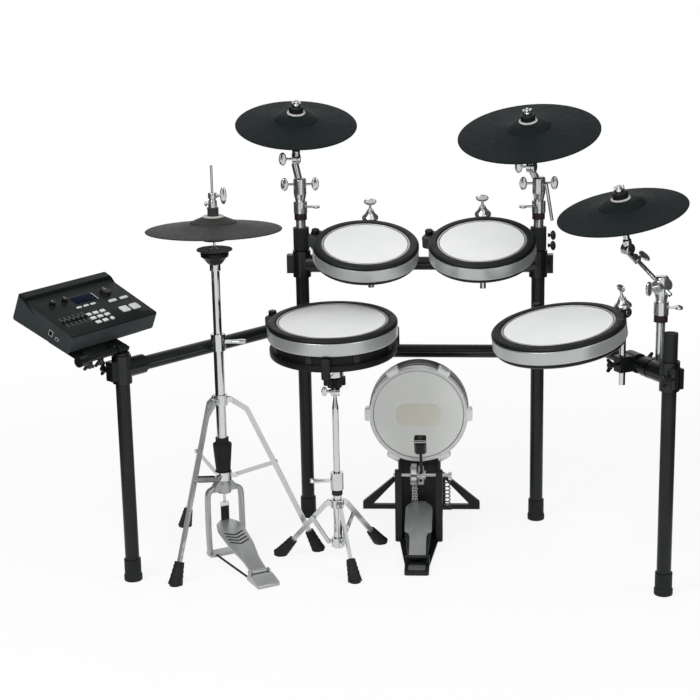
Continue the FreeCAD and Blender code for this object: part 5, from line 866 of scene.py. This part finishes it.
# knurl: radius + depth * cos(count * turn) on the nut's lower part
def buildHatClutch(s):
    disc = moved(upright(hatAxis), high=s["foot"])
    washer = lathe(disc, s["washer"], 72, True)
    surface("hihat_washer", [washer], "feltPale", "hihat_cymbal")
    nut = lathe(disc, s["nut"], 180, True, ripple=lambda out, high, turn: (
        (out > s["knurlFrom"]) & (high < s["knurlTop"])) * s["knurl"] * np.cos(s["knurls"] * turn))
    surface("hihat_knurl", [nut], "housePlastic", "hihat_cymbal", smoothDeg=50)
    ball = lathe(alongSide(moved(disc, *s["ballAt"]), -1), s["ball"], 28, False, 6)
    wing = thumbBolt(fromDisc(disc, *s["wingAt"]), disc["side"], disc["axis"], *s["wing"])
    sleeve = lathe(disc, s["sleeve"], 56, True)
    surface("hihat_clutchSleeve", [sleeve, ball] + wing, "castSilver", "hihat_cymbal",
            "hihat_clutch")


seatShape = {
    "tube": [(9.5, 340, 0), (11, 340, 0.5), (11, 772, 0), (9.5, 772, 0)],
    "ring": [(4.4, 772, 0), (14.2, 772, 1), (14.2, 790, 1.5), (4.4, 790, 0)],
    "cup": [(4.4, 790, 0), (18, 790, 2), (22, 795, 3), (31, 807, 5), (35.5, 809, 1.5), (36.5, 820, 2),
        (33, 823, 1), (33, 825.4, 0), (4.4, 825.4, 0)],
    "dish": [(4.4, 825.2, 0), (45.5, 825.2, 1), (46.5, 827.2, 1), (45, 829, 0.8), (14, 829, 0.4),
        (13, 829.9, 0.4), (4.4, 829.9, 0)],
    "feltFrom": 0.8287, "hole": 0.0132}


def buildHatSeat(s):
    disc = upright(hatAxis)
    tube = [lathe(disc, s[part], 48, True) for part in ("tube", "ring")]
    surface("hihat_upperTube", tube, "chrome", "hihat_upper", "hihat_upper_tube")
    cup = lathe(disc, s["cup"], 64, True, 7)
    surface("hihat_seatCup", [cup], "knobBlack", "hihat_upper")
    dish = surface("hihat_seatDish", [lathe(disc, s["dish"], 72, True)], "housePlastic", "hihat_upper")
    shade(dish.data, "seatGrey", lambda at: at[:, 2] > s["feltFrom"])
    shade(dish.data, "knobBlack", lambda at: offAxis(at, hatAxis) < s["hole"])


archShape = {
    "leg": [(47, 0, 3), (48.5, 0, 60), (48.5, 0, 120), (47.6, 0, 162), (44, 0, 177), (34, 0, 184),
        (20, 0, 190), (10, 0, 194)],
    "section": (10, 6.2, 4), "bar": ((53, 19), 0.2, 8, 2, 7),
    "hub": [(4.4, 172, 0), (19, 172, 2), (20, 196, 3), (17.5, 207.5, 2), (4.4, 207.5, 0)],
    "yoke": [(-36, 178, 4), (36, 178, 4), (27, 197, 5), (19, 207, 3), (-19, 207, 3), (-27, 197, 5)],
    "yokeSpan": (-13, 13, 3),
    "heel": [(-276, 0.2, 0), (-276, 9, 3), (-236, 20, 6), (-223, 20, 1.5), (-221, 14.5, 1), (-205, 14.5, 2),
        (-204, 0.2, 0)],
    "heelSpan": (-30, 30, 1.6), "cheeks": [(-26.4, -215), (26.4, -215)],
    "cheek": ((3.4, 8), 0.2, 27.5, 2, 3), "wireEnds": [(35, -17, 6), (24, -224, 6)],
    "wire": (2.9, 2.9, 2, 16)}


def buildHatFrame(s, floor):
    leg = s["leg"] + [(-x, y, z) for x, y, z in s["leg"][::-1]]
    arch = sweep(smoothPath([fromDisc(floor, *spot) for spot in leg], 8), floor["back"], *s["section"])
    hub = lathe(floor, s["hub"], 56, True)
    yoke = plate(facingFront(floor), rounded(s["yoke"], True), *s["yokeSpan"])
    bar = block(floor, (0, 0), *s["bar"])
    heel = plate(alongSide(floor), rounded(s["heel"], True), *s["heelSpan"])
    cheeks = [block(floor, spot, *s["cheek"]) for spot in s["cheeks"]]
    surface("hihat_arch", [arch, hub, yoke, bar, heel] + cheeks, "satinAlloy", "rack",
            "hihat_frame")
    wires = []
    for sign in (-1, 1):
        ends = [fromDisc(floor, sign * x, y, z) for x, y, z in s["wireEnds"]]
        wires.append(sweep(between(*ends, np.linspace(0, 1, 5)), floor["axis"], *s["wire"]))
    surface("hihat_wires", wires, "boltBlack", "rack")


hatTread = {
    "hinge": (0, -214, 22), "toe": (0, 6, 92), "span": (-3.5, 3.5, 1.6), "knuckle": (5.8, 21.5, 1),
    "tread": [(21.5, 5, 0), (23, 52, 10), (34, 112, 16), (37.5, 186, 5), (30, 214, 4), (13, 229.5, 4)],
    "grooves": [123.8, 136.8, 149.8, 162.8], "aside": 13.4, "slantDeg": 25,
    "groove": ((15.6, 2.1), 3.1, 4, 0.2, 6, 20)}


# chevron: two slim blocks that meet on the tread's middle line
def buildHatTread(s, floor):
    tread = treadFrame(floor, s["hinge"], s["toe"])
    top = plate(tread, mirrored(s["tread"]), *s["span"])
    knuckle = lathe(alongSide(tread), pinCorners(*s["knuckle"]), 32)
    surface("hihat_tread", [top, knuckle], "satinAlloy", "hihat_pedal", "hihat_footboard")
    bars = [block(turnedBy(moved(tread, sign * s["aside"], high), sign * s["slantDeg"]), (0, 0), *s["groove"])
            for high in s["grooves"] for sign in (-1, 1)]
    surface("hihat_treadGrooves", bars, "knobBlack", "hihat_pedal")


hatFloor = floorFrame("hihat_pedal_press", hatAxis)
buildRackPlates(boltShape)
buildLevers(leverShape)
buildHatPad(hatShape)
buildHatClutch(clutchShape)
buildHatSeat(seatShape)
buildHatFrame(archShape, hatFloor)
buildHatTread(hatTread, hatFloor)
print("hi-hat done")

# rubber tips of both tripods: a leg meets the floor at foot, and its knee is that far out and that high
tipShape = {
    "long": 60, "foot": 18.4, "neck": 11.6, "fall": 0.8, "ribs": 5, "ribRise": 0.5, "ribSpan": (0.25, 0.9),
    "section": (2.6, 32), "lowest": 0.0002}
tripods = {
    "hihat": {"at": hatAxis, "foot": 247, "knee": (68, 0, 400)},
    "snare": {"at": snareAxis, "foot": 163, "knee": (34, 0, 150)}}


# axes on the floor under a stand, with the side towards a leg's or strut's joint
def legFrame(name, at):
    away = jointAt(name + "_turn")[0] - at
    return axesOn((at[0], at[1], 0.0), unit((away[0], away[1], 0.0)), up)


# radius falls from foot to neck along the leg, with a cosine of ribs; points under the floor are laid on it
def buildTips(s):
    share = np.linspace(0, 1, 41)
    ribbed = (share > s["ribSpan"][0]) & (share < s["ribSpan"][1])
    reach = s["foot"] - (s["foot"] - s["neck"]) * share ** s["fall"]
    reach = reach + s["ribRise"] * np.cos(2 * np.pi * s["ribs"] * share) * ribbed
    for stand, sizes in tripods.items():
        for number in (1, 2, 3):
            body = f"{stand}_leg_{number}"
            leg = legFrame(body, sizes["at"])
            ground, knee = fromDisc(leg, sizes["foot"], 0, 0), fromDisc(leg, *sizes["knee"])
            line = between(ground, ground + s["long"] * milli * unit(knee - ground), share)
            tip = sweep(line, leg["back"], reach, reach, *s["section"])
            tip[0][..., 2] = np.maximum(tip[0][..., 2], s["lowest"])
            surface(f"{stand}_tip_{number}", [tip], "footRubber", body, smoothDeg=50)


# black sleeve on the front strut
strutShape = {
    "strut": "hihat_strut_3", "pivot": (33, 0, 219), "joint": (138, 0, 250), "shares": (0.16, 0.8),
    "section": (5, 8.6, 5)}


def buildStrutSleeve(s):
    strut = legFrame(s["strut"], hatAxis)
    line = between(fromDisc(strut, *s["pivot"]), fromDisc(strut, *s["joint"]), np.linspace(*s["shares"], 9))
    sleeve = sweep(line, strut["back"], *s["section"])
    surface("hihat_strutSleeve", [sleeve], "footRubber", s["strut"])


# black bolts on the back posts' sleeves
sleeveBolts = {
    "posts": ["crash_left", "ride"], "heights": (0.806, 0.778), "aside": 0.0195, "tubeHeights": (0.82, 0.9),
    "tubeReach": 0.08, "way": (1, -0.25, 0), "across": (0, 0.3, 1), "plate": (26, 15, 6)}


# the tube's axis is the middle of the points that stand near the cymbal's hinge
def buildSleeveBolts(s):
    tubes = nodePoints("cymbal_stands")
    low, high = s["tubeHeights"]
    tubes = tubes[(tubes[:, 2] > low) & (tubes[:, 2] < high)]
    bolts = []
    for name in s["posts"]:
        axis = tubes[offAxis(tubes, jointAt(name + "_tilt")[0]) < s["tubeReach"]].mean(0)
        for height in s["heights"]:
            bolts += thumbBolt((axis[0] + s["aside"], axis[1], height), s["way"], s["across"], *s["plate"])
    surface("rack_sleeveBolts", bolts, "boltBlack", "rack")


snareShape = {
    "tube": [(0, 74, 0), (8.6, 74, 0.5), (8.6, 418, 4), (5, 442, 3), (4.4, 448, 1), (4.4, 459, 0),
        (0, 459, 0)],
    "pivot": 462, "tilter": [(0, 0.4, 0), (12, 0.4, 0.8), (12, 10, 2), (0, 12, 0)], "wingAt": (-12, 0, 462),
    "wing": (26, 16, 8), "castFrom": 0.4475,
    "ring": [(11.4, 181, 0), (14.2, 181, 1.2), (14.2, 196.3, 1.2), (11.4, 196.3, 0)]}


def buildSnareTube(s):
    disc = upright(snareAxis)
    tilter = lathe(alongSide(moved(disc, high=s["pivot"]), -1), s["tilter"], 40)
    wing = thumbBolt(fromDisc(disc, *s["wingAt"]), -disc["side"], disc["axis"], *s["wing"])
    tube = lathe(disc, s["tube"], 48, False, 6)
    upper = surface("snare_upperTube", [tube, tilter] + wing, "chrome", "snare_upper",
                    "snare_upper_tube")
    shade(upper.data, "castSilver", lambda at: at[:, 2] > s["castFrom"])
    surface("snare_clampRing", [lathe(disc, s["ring"], 48, True)], "collarPlum", "rack")


buildTips(tipShape)
buildStrutSleeve(strutShape)
buildSleeveBolts(sleeveBolts)
buildSnareTube(snareShape)
print("stands done")

# trigger module: across, back and up from the middle of its face
caseShape = {
    "half": 150, "edge": 4, "faceDepth": -0.0035, "panelBack": 0.014, "screenRise": 0.0016,
    "profile": [(-100, 0, 4), (72, 0, 1), (77, 9, 2), (100, 9, 4), (100, -66, 8), (-100, -50, 8)],
    "sockets": [((32, -29), (6.5, 7.5)), ((55, -33), (5.5, 3.6))], "socketWall": 1,
    "frame": (-0.5, 0.45, 0.15, 12, 40), "hole": (0.2, 0.7, 0.15, 12, 40),
    "bracket": [(-123, -64, 3), (-121, -55, 2), (-97, -50.6, 1), (-40, -54.6, 1), (-40, -64, 3)],
    "bracketSpan": (-104, -26, 2)}
faderSpots = [(-124.0 + 15.0 * k, -42.0) for k in range(6)]
tickSpots = [(x + 5.5, y + t) for x, y in faderSpots for t in (-18.0, -9.0, 0.0, 9.0, 18.0)]
keyColumns = (-36.0, -12.0, 12.0)
smallSpots = [(x, y) for x in keyColumns for y in (-38.0, -55.0)] + [(x, -74.0) for x in keyColumns[:2]]
# finish, body, slot and replaced node; then spots, half widths, low, high, edge, power and steps
moduleTiles = {
    "module_face": ("panelDark", "module", "panel_grey", "module_panel",
        ([(0, -14)], (143, 79), -5, 0.5, 0.4, 14, 96)),
    "module_bezel": ("knobBlack", "module", "dark_knobs", None,
        ([(6, 25)], (40, 18), 0.4, 1.2, 0.5, 16, 64)),
    "module_screen": ("screenGlass", "module", "dark_knobs", None,
        ([(6, 25)], (37, 15), 0.6, 1.6, 0.4, 18, 64)),
    "module_screenEdge": ("keyPale", "module", "pale_keys", None,
        ([(44.6, 25)], (0.9, 15), 0.8, 1.5, 0.2, 6, 24)),
    "module_faderSlots": ("knobBlack", "module", "dark_knobs", None,
        (faderSpots, (1.5, 21), 0.3, 0.7, 0.15, 4, 32)),
    "module_faderTicks": ("tickGrey", "module", "pale_keys", None,
        (tickSpots, (1.4, 0.35), 0.3, 0.62, 0.08, 4, 12), (faderSpots, (0.6, 21), 0.5, 0.82, 0.1, 4, 12)),
    "module_smallCaps": ("keyPale", "module_keys", "pale_keys", "module_keys",
        ([(74, -11), (114, -11)], (13, 4.5), -2.6, 3, 0.8, 8, 40),
        ([(x, -3) for x in keyColumns], (8, 3), -2.6, 3, 0.8, 8, 40),
        (smallSpots, (8, 5), -2.6, 3, 0.8, 8, 40), ([(12, -74)], (6, 6), -2.6, 3, 0.8, 2, 40)),
    "module_padCaps": ("keyGrey", "module_keys", "pale_keys", None,
        ([(76, -54), (112, -54)], (13.5, 11.5), -2.6, 3, 0.9, 8, 40)),
    "module_sliderCaps": ("knobBlack", "module_faders", "dark_knobs", "module_faders",
        (faderSpots, (3.2, 5), 0.9, 5.4, 1, 6, 32)),
    "module_sliderMarks": ("tickGrey", "module_faders", "pale_keys", None,
        (faderSpots, (3, 0.6), 5, 5.6, 0.15, 6, 16))}


# the panel's flat points give the module's own axes; the screen's top lies over the panel
def moduleFrame(s):
    points = nodePoints("module_panel")
    axis = np.linalg.svd(points - points.mean(0))[2][2]
    axis = axis * np.sign(axis[2])
    level = unit(np.cross(axis, up))
    disc = axesOn(np.zeros(3), level * np.sign(level[0]), axis)
    across, deep, high = (points @ disc[key] for key in ("side", "back", "axis"))
    disc["middle"] = ((across.max() + across.min()) / 2 * disc["side"]
                      + ((deep.max() + deep.min()) / 2 + s["panelBack"]) * disc["back"]
                      + (high.max() - s["screenRise"]) * axis)
    return disc


# side profile carried across the width, so the extrusion runs along the module's own side axis
def buildCase(disc, s):
    sideways = alongSide(disc)
    body = plate(sideways, rounded(s["profile"], True, 6), -s["half"], s["half"], s["edge"])
    case = surface("module_shell", [body], "caseGrey", "module", "module_case")
    shade(case.data, "panelDark", lambda at: (at - disc["middle"]) @ disc["axis"] > s["faceDepth"])
    left = {**moved(disc, -s["half"]), "axis": -disc["side"], "side": -disc["back"], "back": disc["axis"]}
    frames = [block(left, spot, half, *s["frame"]) for spot, half in s["sockets"]]
    holes = [block(left, spot, np.array(half) - s["socketWall"], *s["hole"]) for spot, half in s["sockets"]]
    surface("module_socketFrames", frames, "keyPale", "module")
    surface("module_socketHoles", holes, "knobBlack", "module")
    under = plate(sideways, rounded(s["bracket"], True), *s["bracketSpan"])
    surface("module_bracket", [under], "castBlack", "module")


# across, back, radius and height
moduleKnobs = {
    "module_volume_knob": (-96, 32, 7.6, 12),
    "module_headphone_knob": (-54, 32, 7.6, 12),
    "module_dial": (84, 26, 14, 9)}
knobShape = {
    "ridges": 24, "ridge": 0.035, "gripFrom": 2.4, "gripShare": 0.86, "foot": [(1.2, 0.6, 0.5)],
    "step": (2.6, 0.8), "draw": 0.1, "topTrim": 1.8, "crown": 0.2, "lineAt": 0.52, "lineHalf": 0.55,
    "lineLong": 0.34, "lineSink": 0.2, "lineRise": 0.45, "lineEdge": (0.12, 6, 20)}


# radius(turn) = r + ridge * cos(count * turn) gives the grip, on a turned profile
def buildKnob(disc, node, radius, top, s):
    corners = s["foot"] + [(0, *s["step"]), (-s["draw"] * radius, top, s["topTrim"])]
    corners = [(0, s["foot"][0][1], 0)] + fromRadius(radius, corners) + [(0, top + s["crown"], 0)]
    depth = s["ridge"] * radius
    skin = lathe(disc, corners, 144, False, 6, lambda out, high, turn: (
        (high > s["gripFrom"]) & (out > radius * s["gripShare"])) * depth * np.cos(s["ridges"] * turn))
    surface(node + "_cap", [skin], "knobBlack", node, node, 50)
    half = (s["lineHalf"], radius * s["lineLong"])
    line = block(disc, (0, radius * s["lineAt"]), half, top - s["lineSink"], top + s["lineRise"],
                 *s["lineEdge"])
    surface(node + "_pointer", [line], "markPale", node)


moduleDisc = moduleFrame(caseShape)
buildCase(moduleDisc, caseShape)
for tileName, (finish, body, slot, replaced, *groups) in moduleTiles.items():
    tiles = [block(moduleDisc, spot, half, *sizes) for spots, half, *sizes in groups for spot in spots]
    surface(tileName, tiles, finish, body, replaced)
for knobNode, (knobX, knobY, knobRadius, knobTop) in moduleKnobs.items():
    buildKnob(moved(moduleDisc, knobX, knobY), knobNode, knobRadius, knobTop, knobShape)
print("module done at", moduleDisc["middle"].round(3).tolist())

# floor, light and camera
studio = {
    "floorHalf": 9, "floorTone": 0.9, "toneStep": 0.02, "floorRough": 0.6, "floorNoise": 3, "glow": 0.86,
    "fade": (0.8, 2.6), "worldTone": 1, "ambient": 0.55}
cards = {
    "leftCard": ((-1.5, -1.5), (-1.5, 2.4), (0, 2.4)),
    "rightCard": ((1.15, 1.15), (-1.5, 2.4), (0, 2.4)),
    "frontCard": ((-1.6, 0.9), (-6, -6), (0.1, 2.6))}
cardTones = {"dark": (0.01, 0.01, 0.01), "light": (0.016, 0.016, 0.016), "rough": (0.9, 1)}
lamps = {
    "keyLamp": {"at": (-2.2, -2.6, 3.6), "towards": (0, -0.2, 0.6), "size": 2.4, "power": 95},
    "fillLamp": {"at": (2.6, -2.2, 2.6), "towards": (0, -0.2, 0.6), "size": 2.4, "power": 45}}
shot = {
    "at": (-0.187, -4.53, 1.705763), "pitchDeg": 14.905177, "rollDeg": -1.143974, "focalPx": 1725.189,
    "framePx": 700, "sensor": 36, "clipEnd": 60}


# 1 where a ray comes from the camera, from gloss or through glass
def seenRays(tree):
    path = addNode(tree, "ShaderNodeLightPath").outputs
    seen = path["Is Camera Ray"]
    for kind in ("Is Glossy Ray", "Is Transmission Ray"):
        seen = addNode(tree, "ShaderNodeMath", {0: seen, 1: path[kind]}, operation="MAXIMUM").outputs[0]
    return seen


# flat sheet of two by two faces, with u along its columns and v along its rows
def stageSheet(name, x, y, z, finish):
    mesh = bpy.data.meshes.new(name)
    mesh.from_pydata(np.dstack([x, y, z]).reshape(-1, 3).tolist(), [], faces(*x.shape).tolist())
    mesh.materials.append(finish)
    sheet = addObject(name, mesh)
    return sheet


def makeFloor(s):
    finish, tree, shader = newFinish("pale floor", Roughness=s["floorRough"])
    factor = noise(tree, objectCoords(tree), s["floorNoise"], 3.0)
    dark, light = (s["floorTone"],) * 3, (s["floorTone"] + s["toneStep"],) * 3
    tree.links.new(tone(tree, factor, dark, light), shader.inputs["Base Color"])
    away = addNode(tree, "ShaderNodeVectorMath", {0: objectCoords(tree)}, operation="LENGTH").outputs["Value"]
    share = addNode(tree, "ShaderNodeMapRange", {
        "Value": away, "From Min": s["fade"][0], "From Max": s["fade"][1],
        "To Min": s["glow"], "To Max": 1.0}, interpolation_type="SMOOTHSTEP")
    inputs = {0: seenRays(tree), 1: share.outputs["Result"]}
    glow = addNode(tree, "ShaderNodeMath", inputs, operation="MULTIPLY")
    white = addNode(tree, "ShaderNodeEmission", {"Color": (1, 1, 1, 1), "Strength": 1.0})
    inputs = {0: glow.outputs[0], 1: shader.outputs[0], 2: white.outputs[0]}
    mixed = addNode(tree, "ShaderNodeMixShader", inputs)
    tree.links.new(mixed.outputs[0], tree.nodes["Material Output"].inputs["Surface"])
    x, y = np.meshgrid(*[np.linspace(-s["floorHalf"], s["floorHalf"], 3)] * 2)
    stageSheet("studioFloor", x, y, 0 * x, finish)


# dark cards at both sides and in front, seen only in gloss, give the chrome its dark lines
def makeCard(name, spans, s):
    u, v = np.meshgrid(*[np.linspace(0, 1, 3)] * 2)
    x, y, z = (low + (high - low) * share for (low, high), share in zip(spans, (u, u, v)))
    card = stageSheet(name, x, y, z, grained(name + " cloth", **s))
    card.visible_camera = card.visible_diffuse = card.visible_shadow = False


def placed(thing, side, above, away, at):
    turn = np.eye(4)
    turn[:3] = np.column_stack([side, above, away, at])
    thing.matrix_world = Matrix(turn.tolist())


def makeLamp(name, s):
    lamp = bpy.data.lights.new(name, "AREA")
    lamp.shape, lamp.size, lamp.energy = "DISK", s["size"], s["power"]
    away = unit(np.subtract(s["at"], s["towards"]))
    side = unit(np.cross(up, away))
    placed(addObject(name, lamp), side, np.cross(away, side), away, s["at"])


def makeWorld(s):
    world = bpy.data.worlds.new("studioWorld")
    bpy.context.scene.world = world
    world.use_nodes = True
    tree = world.node_tree
    background = tree.nodes["Background"]
    inputs = {"Value": seenRays(tree), "To Min": s["ambient"], "To Max": s["worldTone"]}
    power = addNode(tree, "ShaderNodeMapRange", inputs)
    tree.links.new(power.outputs["Result"], background.inputs["Strength"])
    background.inputs["Color"].default_value = (1, 1, 1, 1)


def makeCamera(s):
    pitch, roll = math.radians(s["pitchDeg"]), math.radians(s["rollDeg"])
    away = np.array((0.0, -math.cos(pitch), math.sin(pitch)))
    above = np.array((0.0, math.sin(pitch), math.cos(pitch)))
    level = np.array((1.0, 0.0, 0.0))
    view = bpy.data.cameras.new("photoCamera")
    view.sensor_width, view.lens = s["sensor"], s["focalPx"] / s["framePx"] * s["sensor"]
    view.clip_end = s["clipEnd"]
    camera = addObject("photoCamera", view)
    placed(camera, math.cos(roll) * level + math.sin(roll) * above,
           -math.sin(roll) * level + math.cos(roll) * above, away, s["at"])
    bpy.context.scene.camera = camera


makeFloor(studio)
makeWorld(studio)
for cardName, cardSpans in cards.items():
    makeCard(cardName, cardSpans, cardTones)
for lampName, lampSizes in lamps.items():
    makeLamp(lampName, lampSizes)
makeCamera(shot)
bpy.context.scene.view_settings.view_transform = "Standard"
print("studio ready")
